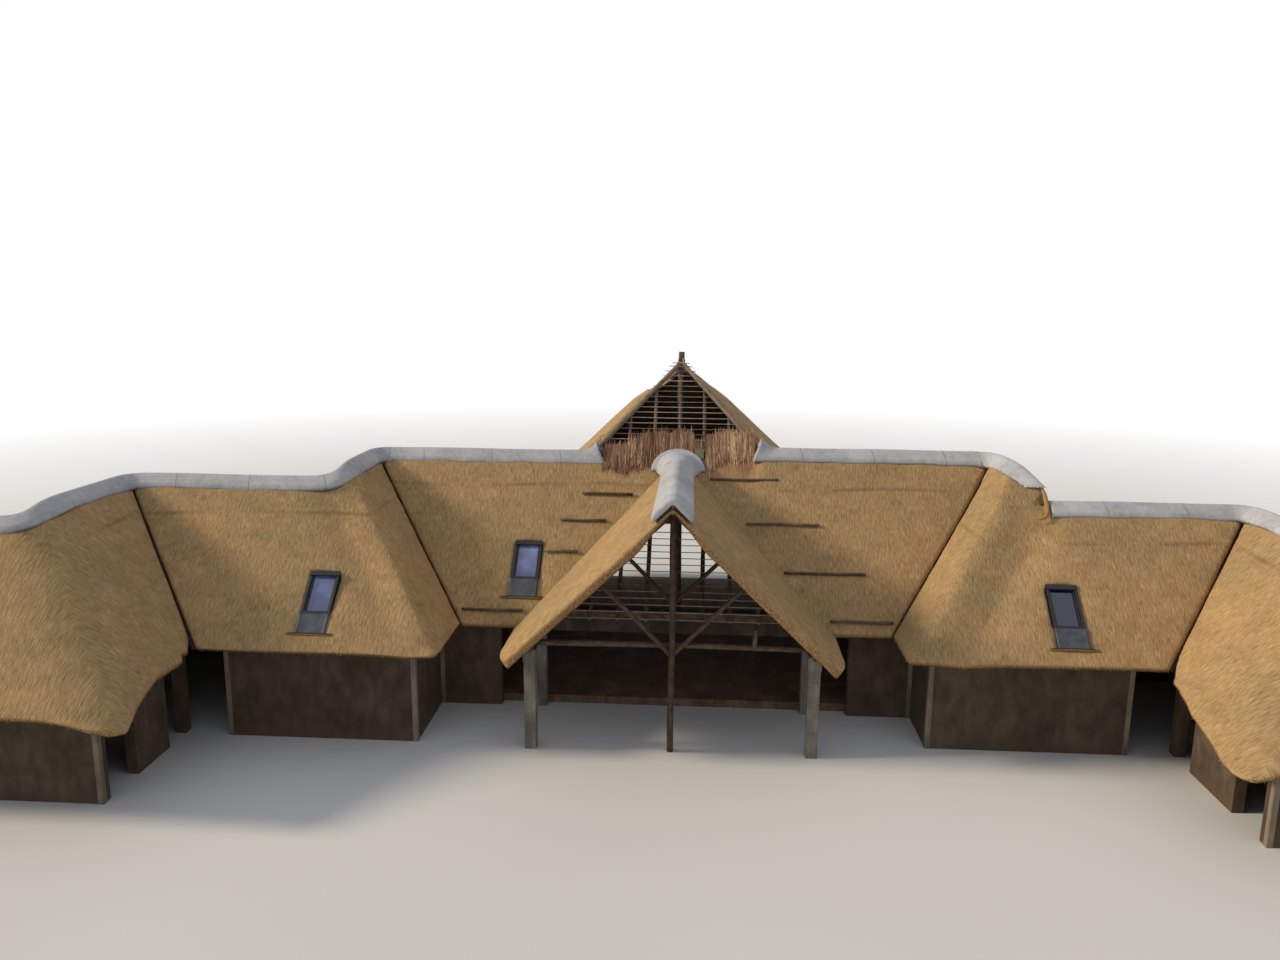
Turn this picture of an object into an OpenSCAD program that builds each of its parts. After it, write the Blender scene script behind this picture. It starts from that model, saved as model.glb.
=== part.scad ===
// Long thatched lodge, half built: stepped hipped roofs either side of a
// central hall with an unfinished pyramid roof and a gabled thatch porch.
// Millimetres, +Z up. X runs along the ridge and -Y is the entrance side.

/* [Thatch] */
// Thickness of the thatch, square to the slope
thatch_t = 200; // [150:10:280]
// Pitch of the slopes that face front and rear, in degrees
front_pitch = 44.7; // [43:0.1:47]
// Pitch of the cross roofs next to the centre, in degrees
cross_pitch = 49; // [47:0.5:51]
// Pitch of the side slopes of the end roofs, in degrees
end_pitch = 45.6; // [44:0.2:48]
// Half width of the open slot along each valley
valley_gap = 45; // [30:5:70]

/* [Centre range] */
// Height of the centre ridge
ridge_z = 6000; // [5800:20:6300]
// Height of the outer edge of the centre eaves
eave_z = 2340; // [2250:10:2420]

/* [Hall] */
// Distance of the hall's peak behind the centre ridge
peak_y = 2496; // [2300:20:2700]
// Half width of the front thatch piece of the hall
hall_front_half = 2000; // [1800:50:2200]
// Height where the front thatch stops so far
front_stop_z = 6480; // [6300:20:6700]
// Height where the side and rear thatch stops below the peak
side_stop_z = 8050; // [7800:50:8200]
// Radius of the pole in the middle of the hall
centre_post_r = 110; // [90:5:140]
// Length of the centre pole above the peak of the thatch
centre_post_stub = 60; // [20:10:150]
// Radius of the hip poles of the hall
hip_pole_r = 65; // [50:5:80]
// Thickness of the floor slab of the hall
floor_t = 200; // [150:10:250]

/* [Left side] */
// Distance of the left cross ridge from the middle
left_cross_x = 8250; // [8000:50:8500]
// Length of the left cross ridge
left_cross_run = 2200; // [1800:50:2600]
// Height of the left wing ridge
left_wing_z = 5650; // [5500:25:5800]
// Height of the left wing eaves
left_wing_eave_z = 2380; // [2300:10:2450]
// Distance of the left end's cross ridge from the middle
left_turn_x = 13720; // [13300:50:14000]
// Length of the left end's cross ridge
left_end_run = 3270; // [3000:50:3600]
// Height of the left end eaves
left_end_eave_z = 2200; // [2100:10:2300]

/* [Right side] */
// Distance of the right cross ridge from the middle
right_cross_x = 8300; // [8000:50:8500]
// Length of the right cross ridge
right_cross_run = 1620; // [1400:50:2200]
// Height of the right wing ridge
right_wing_z = 5350; // [5200:25:5500]
// Height of the right wing eaves
right_wing_eave_z = 2340; // [2260:10:2420]
// Distance of the right end's cross ridge from the middle
right_turn_x = 13650; // [13300:50:14000]
// Length of the right end's cross ridge
right_end_run = 3600; // [3200:50:3800]
// Height of the right end eaves
right_end_eave_z = 2050; // [2000:10:2200]

/* [Ends] */
// Distance of the outermost eaves from the middle
end_x = 18900; // [18400:50:19600]
// Drop from each end's cross ridge to its outer ridge
end_drop = 300; // [200:25:450]

/* [Porch] */
// Half width of the porch roof at its eaves
porch_half = 3800; // [3600:50:4000]
// Distance of the porch gable in front of the centre ridge
porch_front = 5850; // [5600:50:6200]
// Height of the porch ridge
porch_ridge_z = 5930; // [5800:10:5950]
// Height of the porch eaves
porch_eave_z = 2300; // [2250:10:2340]
// Height up to which the centre thatch is left open inside the porch
porch_open_z = 4400; // [4000:50:4700]
// Distance of the porch columns in from the porch eaves
column_inset = 640; // [560:20:760]
// Distance of the porch columns in front of the centre ridge
column_y = 5190; // [5000:10:5250]
// Side of the square columns
column_w = 260; // [220:10:300]
// Side of the wider head of each column
column_head_w = 300; // [280:10:360]
// Height of the head of each column
column_head_h = 300; // [200:10:400]
// Radius of the porch pole and the tie beam
porch_pole_r = 75; // [60:5:90]
// Radius of the two slanting braces
brace_r = 55; // [40:5:65]
// Height where the braces leave the porch pole
brace_z = 2300; // [2150:10:2350]
// Width of the beams along the sides of the porch
side_beam_w = 160; // [120:10:200]
// Height of these beams at their outer edge
side_beam_h = 180; // [140:10:240]
// Place of the short stub post on the tie beam
stub_x = 1840; // [1600:20:2000]
// Height of the short stub post
stub_h = 420; // [300:10:500]

/* [Roof frame] */
// Distance from one rafter to the next
rafter_pitch = 680; // [600:10:750]
// Radius of the rafters
rafter_r = 55; // [45:5:65]
// Thickness of the laths
lath_t = 25; // [20:1:30]
// Width of the laths
lath_w = 38; // [30:1:45]
// Distance from one lath to the next, along the slope
lath_pitch = 190; // [170:5:230]

/* [Ridge caps] */
// Thickness of the ridge caps
cap_t = 70; // [50:5:90]
// Length of each skirt down the slope
cap_skirt = 420; // [360:10:480]
// Radius of the half-round collar behind the porch cap
collar_r = 700; // [600:20:760]

/* [Gutters] */
// Depth of the valley gutters below the thatch surface
gutter_depth = 130; // [100:5:150]
// Thickness of the gutter sheet
gutter_t = 12; // [8:1:20]

/* [Roof windows] */
// Width of a roof window
window_w = 680; // [600:10:760]
// Length of its glazed part
window_l = 1100; // [1000:20:1200]
// Length of the metal apron below it
apron_l = 500; // [350:10:550]
// Thickness of the apron
apron_t = 8; // [5:1:12]
// Width of the frame bars
frame_w = 55; // [45:5:70]
// Depth of the glass below the thatch surface
glass_depth = 70; // [50:5:90]
// Thickness of the glass
glass_t = 20; // [16:1:24]
// Top of the left window, along the slope from the wing ridge
left_window_s = 2630; // [2500:10:2700]
// Centre of the left window from the middle
left_window_x = 8040; // [7800:20:8300]
// Top of the centre window, along the slope from the centre ridge
centre_window_s = 2840; // [2750:10:2900]
// Gap between the centre window's apron and the porch thatch
centre_window_gap = 165; // [120:5:260]
// Top of the right window, along the slope from the wing ridge
right_window_s = 2270; // [2150:10:2350]
// Centre of the right window from the middle
right_window_x = 8790; // [8600:20:9000]

/* [Walls] */
// Thickness of the walls
wall_t = 250; // [220:10:280]
// Distance of the walls behind the centre and wing eaves
wall_inset = 700; // [650:10:750]
// Distance of the end walls behind the end eaves
end_inset = 950; // [900:10:1000]
// Height of the door heads
door_h = 2150; // [2050:10:2200]
// Half width of the open front of the hall
hall_open = 3140; // [3000:20:3200]
// Height of the underside of the beam over the open front of the hall
hall_beam_z = 2000; // [1950:10:2060]
// Height of this beam
hall_beam_h = 310; // [250:10:350]
// Width of the doorways beside the open front
hall_door_w = 880; // [800:20:950]
// Width of the wing doorways
wing_door_w = 1050; // [900:10:1100]
// Width of the end doorways
end_door_w = 1000; // [850:10:1100]
// Width of the small doorway at the inner corner
corner_door_w = 700; // [600:10:800]

/* [Thatching poles] */
// Radius of the poles left on the front slope
thatch_pole_r = 38; // [30:2:50]

/* [Hidden] */
big = 3 * end_x;
roof_top = 2 * ridge_z;
kf = tan(front_pitch);
kc = tan(cross_pitch);
ke = tan(end_pitch);
// Outer edge of the centre eaves, measured from the ridge line
eave_y = (ridge_z - eave_z) / kf;
peak_z = ridge_z + kf * peak_y;
hall_half = (peak_z - eave_z) / kf;
hall_rear = peak_y + hall_half;
kp = (porch_ridge_z - porch_eave_z) / porch_half;
porch_pitch = atan(kp);
// Places on the porch thatch: half width at a height, and height of its underside
function porch_x(z) = (porch_ridge_z - z) / kp;
function porch_under(x) = porch_ridge_z - thatch_t / cos(porch_pitch) - kp * x;
column_x = porch_half - column_inset;
column_h = porch_under(column_x + side_beam_w / 2) - side_beam_h;
centre_window_low = ridge_z - (centre_window_s + window_l + apron_l) * sin(front_pitch);
centre_window_x = porch_x(centre_window_low) + centre_window_gap + window_w / 2;

// One side of the house, told as if it lay on the +X side:
// [cross x, cross run, wing ridge z, wing eave z, turn x, end run, end eave z]
LEFT = [left_cross_x, left_cross_run, left_wing_z, left_wing_eave_z,
        left_turn_x, left_end_run, left_end_eave_z];
RIGHT = [right_cross_x, right_cross_run, right_wing_z, right_wing_eave_z,
         right_turn_x, right_end_run, right_end_eave_z];
function wing_y(p) = -(p[1] + (ridge_z - p[2]) / kf);
function end_front_y(p) = wing_y(p) - p[5];
function low_z(p) = p[2] - end_drop;
function low_y(p) = end_front_y(p) - end_drop / kf;

// A roof block is [line across Y, line across X, side slope]. A line is a list of points
// [place, height] from one end to the other: an end lower than its neighbour is an
// eave, any other end is cut upright.
function front_tip(y, z, e) = [y - (z - e) / kf, e];
function rear_tip(y, z, e) = [y + (z - e) / kf, e];
function side_line(x0, x1, z, e0, e1, k) =
    concat([[x0 - (z - e0) / k, e0], [x0, z]], x0 == x1 ? [] : [[x1, z]], [[x1 + (z - e1) / k, e1]]);
beyond = 1.25 * eave_y;
FRONT = [[-eave_y, eave_z], [0, ridge_z], [1.1 * peak_y, ridge_z + 1.1 * kf * peak_y]];
REAR = [[0, ridge_z], [eave_y, eave_z]];
HALL = [[[-eave_y, eave_z], [0, ridge_z], [peak_y, peak_z], [hall_rear, eave_z]],
        side_line(0, 0, peak_z, eave_z, eave_z, kf), kf];
HALL_BACK = [[[-beyond, peak_z], [peak_y, peak_z], [hall_rear, eave_z]], HALL[1], kf];
function centre_block(p) = [
    [[-eave_y, eave_z], [0, ridge_z], [eave_y, eave_z]],
    [[0, ridge_z], [p[0], ridge_z], [p[0] + (ridge_z - p[3]) / kc, p[3]]], kc];
function cross_front(p) = [front_tip(wing_y(p), p[2], p[3]), [wing_y(p), p[2]], [-p[1], ridge_z]];
function cross_side(p) = side_line(p[0], p[0], ridge_z, p[3], p[3], kc);
function cross_block(p) = [
    concat(cross_front(p), [[0, ridge_z], [eave_y, eave_z]]), cross_side(p), kc];
function cross_long(p) = [concat(cross_front(p), [[beyond, ridge_z]]), cross_side(p), kc];
function wing_lines(p) = [
    front_tip(wing_y(p), p[2], p[3]), [wing_y(p), p[2]], rear_tip(wing_y(p), p[2], p[3])];
function wing_block(p) = [
    wing_lines(p), [[p[0], p[2]], [p[4], p[2]], [p[4] + (p[2] - p[6]) / ke, p[6]]], ke];
function wing_long(p) = [wing_lines(p), [[p[0], p[2]], [p[4] + beyond, p[2]]], ke];
function turn_front(p) = [
    front_tip(low_y(p), low_z(p), p[6]), [low_y(p), low_z(p)], [end_front_y(p), p[2]]];
function turn_side(p) = side_line(p[4], p[4], p[2], p[6], p[6], ke);
function turn_block(p) = [
    concat(turn_front(p), [[wing_y(p), p[2]], rear_tip(wing_y(p), p[2], p[3])]), turn_side(p), ke];
function turn_long(p) = [
    concat(turn_front(p), [[wing_y(p) + beyond, p[2]]]), turn_side(p), ke];
function low_end_x(p) = end_x - (low_z(p) - p[6]) / ke;
function low_block(p) = [
    [front_tip(low_y(p), low_z(p), p[6]), [low_y(p), low_z(p)], rear_tip(low_y(p), low_z(p), p[6])],
    [[p[4], low_z(p)], [low_end_x(p), low_z(p)], [end_x, p[6]]], ke];

// Eaves of a block
function block_front(b) = b[0][0][0];
function block_rear(b) = b[0][len(b[0]) - 1][0];
function block_near(b) = b[1][0][0];
function block_far(b) = b[1][len(b[1]) - 1][0];

// The whole model is moved so that its footprint is centred on the origin
front_edge = min(block_front(turn_block(LEFT)), block_front(turn_block(RIGHT)));
y_shift = -(front_edge + hall_rear) / 2;

module placed() {
    translate([0, y_shift, 0]) children();
}

module on_side(s) {
    if (s < 0) mirror([1, 0, 0]) children();
    else children();
}

// An end point of a line raised by g square to the slope and carried on down by more
function end_point(end, next, k, g, more) =
    let (d = end[0] < next[0] ? -1 : 1)
    end[1] < next[1]
        ? [end[0] + d * (g * sin(atan(k)) + more / k), end[1] + g * cos(atan(k)) - more]
        : [end[0], end[1] + g / cos(atan(k))];

// Section of everything below a line raised by g, down to z = bottom
function under_points(line, k, g, more, bottom) =
    let (n = len(line) - 1,
         a = end_point(line[0], line[1], k, g, more),
         b = end_point(line[n], line[n - 1], k, g, more))
    concat([a], [for (i = [1 : 1 : n - 1]) [line[i][0], line[i][1] + g / cos(atan(k))]],
           [b, [b[0], bottom], [a[0], bottom]]);

// Inner corner of an eave that is cut square to the slope, well below the thatch
function cut_point(end, next, k) =
    let (d = end[0] < next[0] ? 1 : -1, t = thatch_t + 150)
    end[1] < next[1] ? [end[0] + d * t * sin(atan(k)), end[1] - t * cos(atan(k))]
                     : [end[0], 0];

// Section of the thatch and what is below it, with square-cut eaves
function body_points(line, k) =
    let (n = len(line) - 1)
    concat(line, [cut_point(line[n], line[n - 1], k), cut_point(line[0], line[1], k)]);

module prism_x(points) {
    translate([-big / 2, 0, 0])
        rotate([90, 0, 90])
            linear_extrude(big)
                polygon(points);
}

module prism_y(points, y0 = -big / 2, y1 = big / 2) {
    translate([0, y1, 0])
        rotate([90, 0, 0])
            linear_extrude(y1 - y0)
                polygon(points);
}

// Everything below the outer face of a block's thatch, raised by g
module below(b, g = 0, bottom = -10, more = 0) {
    intersection() {
        prism_x(under_points(b[0], kf, g, more, bottom));
        prism_y(under_points(b[1], b[2], g, more, bottom));
    }
}

// The room under a block's thatch, down to the ground
module room(b) {
    below(b, -thatch_t, -10, eave_over);
}

module block_body(b) {
    intersection() {
        prism_x(body_points(b[0], kf));
        prism_y(body_points(b[1], b[2]));
    }
}

// Below the long front slope of the centre and the hall
module under_front(g) {
    prism_x(under_points(FRONT, kf, g, g < 0 ? eave_over : 0, -10));
}

// One slope's thatch by itself
module slope_layer(line) {
    difference() {
        prism_x(body_points(line, kf));
        prism_x(under_points(line, kf, -thatch_t, eave_over, -10));
    }
}

module plan(points, z0 = 0, z1 = roof_top) {
    translate([0, 0, z0])
        linear_extrude(z1 - z0)
            polygon(points);
}

// Plan regions, each told as if on the +X side
function out(x, y, dx, dy, n) = [x + n * dx, y + n * dy];
far = 0.64 * end_x;
eave_over = 3 * thatch_t;
function wing_region(p, g) = [
    [p[0], 0], [p[0] + g, 0], out(p[0] + g, 0, -1 / kc, -1 / kf, far),
    [p[4], -kf * far],
    out(p[4] - g, wing_y(p), -1 / ke, -1 / kf, far / 2),
    [p[4] - g, wing_y(p)], [p[4], wing_y(p)],
    out(p[4], wing_y(p), 1 / ke, 1 / kf, far),
    out(p[0], 0, 1 / kc, 1 / kf, far)
];

// Room under the porch roof
module porch_room(z1 = roof_top, y1 = 0) {
    c = cos(porch_pitch);
    s = sin(porch_pitch);
    half = porch_half - thatch_t * s;
    low = porch_eave_z - thatch_t * c;
    intersection() {
        prism_y([[-half, low], [0, porch_ridge_z - thatch_t / c], [half, low], [half, -10], [-half, -10]],
                -1.1 * porch_front, y1);
        translate([-big / 2, -big / 2, -10]) cube([big, big, z1 + 10]);
    }
}

// A box on the front slope: x from the middle, s down the slope, z above the thatch
module on_slope(y, z) {
    translate([0, y, z]) rotate([front_pitch, 0, 0]) children();
}

module slope_box(x, w, s0, s1, z0, z1) {
    translate([x - w / 2, -s1, z0]) cube([w, s1 - s0, z1 - z0]);
}

module window_hole(x, s) {
    slope_box(x, window_w, s, s + window_l, -thatch_t - 100, 200);
}

// Thatch
module thatch(col = "burlywood") {
    color(col) placed() children();
}

module thatch_hall_front() {
    h = hall_front_half;
    thatch("peru") difference() {
        intersection() {
            slope_layer(FRONT);
            plan([[-h, -far], [-h, peak_y - h], [0, peak_y], [h, peak_y - h], [h, -far]],
                 0, front_stop_z);
        }
        porch_room(porch_open_z);
    }
}

module thatch_hall_sides_and_rear() {
    a = peak_y - valley_gap / 2;
    b = valley_gap / 2;
    thatch() intersection() {
        difference() {
            block_body(HALL_BACK);
            room(HALL_BACK);
        }
        plan([[0, peak_y], [-a, b], [-a - far, b + far], [a + far, b + far], [a, b]],
             0, side_stop_z);
    }
}

module centre_front(p, s, window_x, window_s) {
    h = hall_front_half;
    thatch() on_side(s) difference() {
        intersection() {
            slope_layer(FRONT);
            plan([[h, -far], [h, peak_y - h], [peak_y, 0], [p[0] - valley_gap, 0],
                  out(p[0] - valley_gap, 0, -1 / kc, -1 / kf, 1.2 * ridge_z - eave_z), [1.2 * h, -far]]);
        }
        porch_room(porch_open_z);
        if (window_s > 0) on_slope(0, ridge_z) window_hole(window_x, window_s);
    }
}

module thatch_centre_front_left() {
    centre_front(LEFT, -1, centre_window_x, centre_window_s);
}

module thatch_centre_front_right() {
    centre_front(RIGHT, 1, 0, 0);
}

module thatch_centre_rear() {
    a = peak_y + valley_gap;
    thatch() for (side = [[LEFT, -1], [RIGHT, 1]]) {
        p = side[0];
        on_side(side[1]) intersection() {
            slope_layer([[-thatch_t, ridge_z + thatch_t * kf], [0, ridge_z], [eave_y, eave_z]]);
            plan([[a, 0], [p[0], 0], out(p[0], 0, 1 / kc, 1 / kf, far), [a + far, far]]);
        }
    }
}

module wing(p, s, window_x, window_s) {
    thatch() on_side(s) difference() {
        intersection() {
            union() {
                block_body(cross_long(p));
                block_body(wing_long(p));
            }
            plan(wing_region(p, valley_gap));
        }
        room(cross_long(p));
        room(wing_long(p));
        on_slope(wing_y(p), p[2]) window_hole(window_x, window_s);
    }
}

module thatch_left_wing() {
    wing(LEFT, -1, left_window_x, left_window_s);
}

module thatch_right_wing() {
    wing(RIGHT, 1, right_window_x, right_window_s);
}

module end_roof(p, s) {
    x = p[4];
    y = wing_y(p);
    g = valley_gap;
    edge = 1.05 * end_x;
    thatch() on_side(s) difference() {
        intersection() {
            union() {
                block_body(turn_long(p));
                block_body(low_block(p));
            }
            plan([[x, y], [x + g, y], out(x + g, y, -1 / ke, -1 / kf, far / 2), [edge, -far],
                  out(x, y, 1 / ke, 1 / kf, (edge - x) * ke)]);
        }
        room(turn_long(p));
        room(low_block(p));
    }
}

module thatch_left_end() {
    end_roof(LEFT, -1);
}

module thatch_right_end() {
    end_roof(RIGHT, 1);
}

module thatch_porch() {
    c = cos(porch_pitch);
    s = sin(porch_pitch);
    thatch() difference() {
        prism_y([[-porch_half, porch_eave_z], [0, porch_ridge_z], [porch_half, porch_eave_z],
                 [porch_half - thatch_t * s, porch_eave_z - thatch_t * c],
                 [0, porch_ridge_z - thatch_t / c],
                 [-porch_half + thatch_t * s, porch_eave_z - thatch_t * c]],
                -porch_front, 0);
        under_front(0);
    }
}

// Ridge caps follow the thatch surface, cap_t thick, inside a strip along the ridge
skirt_y = cap_skirt * cos(front_pitch);
skirt_x = cap_skirt * cos(cross_pitch);
module cap_layer(blocks) {
    difference() {
        union() for (b = blocks) below(b, cap_t, eave_z);
        union() for (b = blocks) below(b, 0, eave_z - 100);
    }
}

module strip(x0, x1, y0, y1) {
    translate([x0, y0, 0]) cube([x1 - x0, y1 - y0, roof_top]);
}

cap_inner = 2300;
module centre_cap(p, s) {
    x = p[0] - skirt_x;
    color("lightgray") placed() on_side(s) intersection() {
        cap_layer([centre_block(p)]);
        plan([[cap_inner, -skirt_y], [x, -skirt_y], [x, skirt_y], [peak_y + skirt_y, skirt_y],
              [peak_y, 0], [cap_inner, 0]]);
    }
}

module ridge_cap_centre_left() {
    centre_cap(LEFT, -1);
}

module ridge_cap_centre_right() {
    centre_cap(RIGHT, 1);
}

// Strip over a cross ridge, from behind the centre ridge to the wing ridge
module cross_strip(p, y0) {
    strip(p[0] - skirt_x, p[0] + skirt_x, y0, skirt_y);
}

// Strips over the wing ridge, the end's cross ridge and the end's outer ridge
module wing_strips(p, x0) {
    end_tip = low_end_x(p) + skirt_y;
    strip(x0, p[4] + skirt_x, wing_y(p) - skirt_y, wing_y(p) + skirt_y);
    strip(p[4] - skirt_x, p[4] + skirt_x, low_y(p) - skirt_y, wing_y(p) + skirt_y);
    strip(p[4] - skirt_x, end_tip, low_y(p) - skirt_y, low_y(p) + skirt_y);
}

module ridge_cap_left() {
    p = LEFT;
    color("lightgray") placed() on_side(-1) intersection() {
        cap_layer([centre_block(p), cross_block(p), wing_block(p), turn_block(p), low_block(p)]);
        union() {
            cross_strip(p, wing_y(p) - skirt_y);
            wing_strips(p, p[0] - skirt_x);
        }
    }
}

right_cap_gap = 280;
module ridge_cap_right_cross() {
    p = RIGHT;
    color("lightgray") placed() intersection() {
        cap_layer([centre_block(p), cross_block(p)]);
        cross_strip(p, -p[1] - right_cap_gap / 2);
    }
}

module ridge_cap_right_wing() {
    p = RIGHT;
    color("lightgray") placed() difference() {
        intersection() {
            cap_layer([wing_block(p), turn_block(p), low_block(p)]);
            wing_strips(p, p[0] + (ridge_z - p[2]) / kc + right_cap_gap / 2);
        }
        below(cross_block(p));
    }
}

// Below the porch thatch surface, raised by g
module under_porch(g) {
    c = cos(porch_pitch);
    s = sin(porch_pitch);
    prism_y([[-porch_half - g * s, porch_eave_z + g * c], [0, porch_ridge_z + g / c],
             [porch_half + g * s, porch_eave_z + g * c], [porch_half + g * s, 0],
             [-porch_half - g * s, 0]],
            -1.1 * porch_front, 0);
}

// The porch cap ends in a half-round collar on the slope behind
module ridge_cap_porch() {
    w = cap_skirt * cos(porch_pitch);
    color("lightgray") placed() difference() {
        union() {
            difference() {
                intersection() {
                    under_porch(cap_t);
                    translate([-w, -porch_front - cap_t, eave_z])
                        cube([2 * w, porch_front, roof_top]);
                }
                under_front(0);
            }
            on_slope(0, ridge_z) translate([0, -collar_r, 0]) difference() {
                cylinder(r = collar_r, h = cap_t, $fn = 48);
                translate([-collar_r, -2 * collar_r, -10])
                    cube([2 * collar_r, 2 * collar_r, cap_t + 20]);
            }
        }
        under_porch(0);
    }
}

// A gutter lies in the slot between two thatch pieces
module gutter_layer(blocks) {
    difference() {
        union() for (b = blocks) below(b, -gutter_depth, 0);
        union() for (b = blocks) below(b, -gutter_depth - gutter_t, -100);
    }
}

// Lower end of a gutter above eaves at height e
function gutter_low(e) = e - gutter_depth * cos(front_pitch) + 20;

// Slot along a valley from (x, y) in the direction (dx, dy), above height z
module slot(x, y, dx, dy, n, z) {
    g = valley_gap;
    plan([[x - g, y], [x + g, y], out(x + g, y, dx, dy, n), out(x - g, y, dx, dy, n)], z);
}

module valley_gutters() {
    g = valley_gap;
    n = eave_y;
    color("dimgray") placed() for (side = [[LEFT, -1], [RIGHT, 1]]) {
        p = side[0];
        on_side(side[1]) {
            intersection() {
                gutter_layer([centre_block(p), cross_block(p)]);
                slot(p[0], 0, -1 / kc, -1 / kf, ridge_z - eave_z, gutter_low(eave_z));
            }
            intersection() {
                gutter_layer([wing_block(p), turn_block(p)]);
                slot(p[4], wing_y(p), -1 / ke, -1 / kf, p[2] - p[3], gutter_low(p[3]));
            }
            intersection() {
                gutter_layer([centre_block(p), HALL]);
                plan([[peak_y - g / 2, g / 2], [peak_y, 0], [peak_y + g, 0],
                      [peak_y + g + n, n], [peak_y - g + n, n]], gutter_low(eave_z));
            }
        }
    }
}

// Rafters and laths of the front slope, bare near the peak and inside the porch
module front_rafter(x) {
    top = (peak_y - abs(x)) / cos(front_pitch);
    low = (eave_y - 100) / cos(front_pitch);
    translate([x, -low, -thatch_t - lath_t - rafter_r])
        rotate([-90, 0, 0])
            cylinder(r = rafter_r, h = low + top, $fn = 8);
}

// The laths are let into the rafters by this depth
lath_bed = lath_t / 5;
module front_laths(s0, s1) {
    count = floor((s1 - s0) / lath_pitch);
    for (i = [0 : count])
        translate([-column_x, -s0 - i * lath_pitch - lath_w, -thatch_t - lath_t - lath_bed])
            cube([2 * column_x, lath_w, lath_t + lath_bed]);
}

module hall_front_frame() {
    m = hip_pole_r * 1.5;
    peak_s = (peak_y - 2 * m) / cos(front_pitch);
    color("tan") placed() difference() {
        intersection() {
            union() {
                on_slope(0, ridge_z) {
                    for (i = [-4 : 4]) front_rafter(i * rafter_pitch);
                    front_laths(-peak_s, -2 * lath_pitch);
                }
                intersection() {
                    on_slope(0, ridge_z)
                        front_laths((ridge_z - porch_open_z) / sin(front_pitch) + lath_pitch / 2,
                                    (ridge_z - eave_z) / sin(front_pitch) - lath_pitch);
                    porch_room();
                }
            }
            plan([[0, peak_y - m], [-far, peak_y - m - far], [far, peak_y - m - far]]);
        }
        centre_post_body();
        king_post_body();
    }
}

module centre_post_body() {
    translate([0, peak_y, floor_t])
        cylinder(r = centre_post_r, h = peak_z + centre_post_stub - floor_t, $fn = 32);
}

module hall_centre_post() {
    color("saddlebrown") placed() centre_post_body();
}

module hall_hip_poles() {
    // Distance of the pole's axis below the outer thatch line along a hip
    drop = (thatch_t + lath_t) / cos(front_pitch) + hip_pole_r * 1.3;
    slope = atan(kf / sqrt(2));
    inner = hall_half - wall_inset - wall_t;
    color("saddlebrown") placed() difference() {
        intersection() {
            translate([0, peak_y, peak_z - drop])
                for (a = [45, 135, 225, 315])
                    rotate([0, 0, a])
                        rotate([0, 90 + slope, 0])
                            cylinder(r = hip_pole_r, h = hall_half * 1.8, $fn = 24);
            translate([-inner, peak_y - inner, 0])
                cube([2 * inner, 2 * inner, roof_top]);
        }
        centre_post_body();
    }
}

wall_y = -eave_y + wall_inset;
beam_top = ridge_z + kf * wall_y - (thatch_t + lath_t + 2 * rafter_r) / cos(front_pitch);
module hall_front_beam() {
    color("gray") placed()
        translate([-hall_open - column_w, wall_y, hall_beam_z])
            cube([2 * (hall_open + column_w), wall_t, hall_beam_h]);
}

// The plate lies on the beam and carries the rafters
module hall_wall_plate() {
    z = hall_beam_z + hall_beam_h;
    color("saddlebrown") placed()
        translate([-hall_open - column_w, wall_y, z])
            cube([2 * (hall_open + column_w), wall_t, beam_top - z]);
}

module square_column(x, y, w, h) {
    translate([x - w / 2, y - w / 2, 0]) cube([w, w, h]);
}

rear_wall_y = hall_rear - wall_inset;
module hall_columns() {
    color("gray") placed() for (s = [-1, 1]) {
        square_column(s * (hall_open + column_w / 2), wall_y + wall_t / 2, wall_t, hall_beam_z);
        square_column(s * (hall_open + column_w / 2), rear_wall_y - wall_t / 2, wall_t, door_h);
    }
}

side_wall_x = hall_half - wall_inset;
centre_rear_y = eave_y - wall_inset;
module hall_floor() {
    color("rosybrown") placed() {
        translate([-side_wall_x + wall_t, wall_y + wall_t, 0])
            cube([2 * (side_wall_x - wall_t), rear_wall_y - wall_y - 2 * wall_t, floor_t]);
    }
}

module slab(x0, x1, y0, y1, z0 = 0, z1 = door_h) {
    translate([x0, y0, z0]) cube([x1 - x0, y1 - y0, z1 - z0]);
}

rear_open = hall_open + column_w / 2 + wall_t / 2;
module hall_walls() {
    color("dimgray") placed() for (s = [-1, 1]) on_side(s) {
        slab(side_wall_x - wall_t, side_wall_x, centre_rear_y, rear_wall_y);
        slab(rear_open + hall_door_w, side_wall_x, rear_wall_y - wall_t, rear_wall_y);
    }
}

// Ring beams sit on the walls, cross the doorways and fill up to the thatch
module hall_ring_beam() {
    color("gray") placed() intersection() {
        union() {
            for (s = [-1, 1]) on_side(s)
                slab(side_wall_x - wall_t, side_wall_x, centre_rear_y, rear_wall_y, door_h, ridge_z);
            slab(-side_wall_x, side_wall_x, rear_wall_y - wall_t, rear_wall_y, door_h, ridge_z);
        }
        room(HALL);
    }
}

// Porch
module porch_columns() {
    color("gray") placed() for (s = [-1, 1]) {
        square_column(s * column_x, -column_y, column_w, column_h);
        translate([s * column_x - column_head_w / 2, -column_y - column_head_w / 2, column_h - column_head_h])
            cube([column_head_w, column_head_w, column_head_h]);
    }
}

tie_y = -column_y + 2 * porch_pole_r;
module porch_tie_beam() {
    reach = column_x - side_beam_w / 2;
    color("saddlebrown") placed() {
        translate([-reach, tie_y, column_h + porch_pole_r])
            rotate([0, 90, 0])
                cylinder(r = porch_pole_r, h = 2 * reach, $fn = 32);
        translate([stub_x, tie_y, column_h + porch_pole_r])
            cylinder(r = brace_r, h = stub_h, $fn = 24);
    }
}

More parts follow.
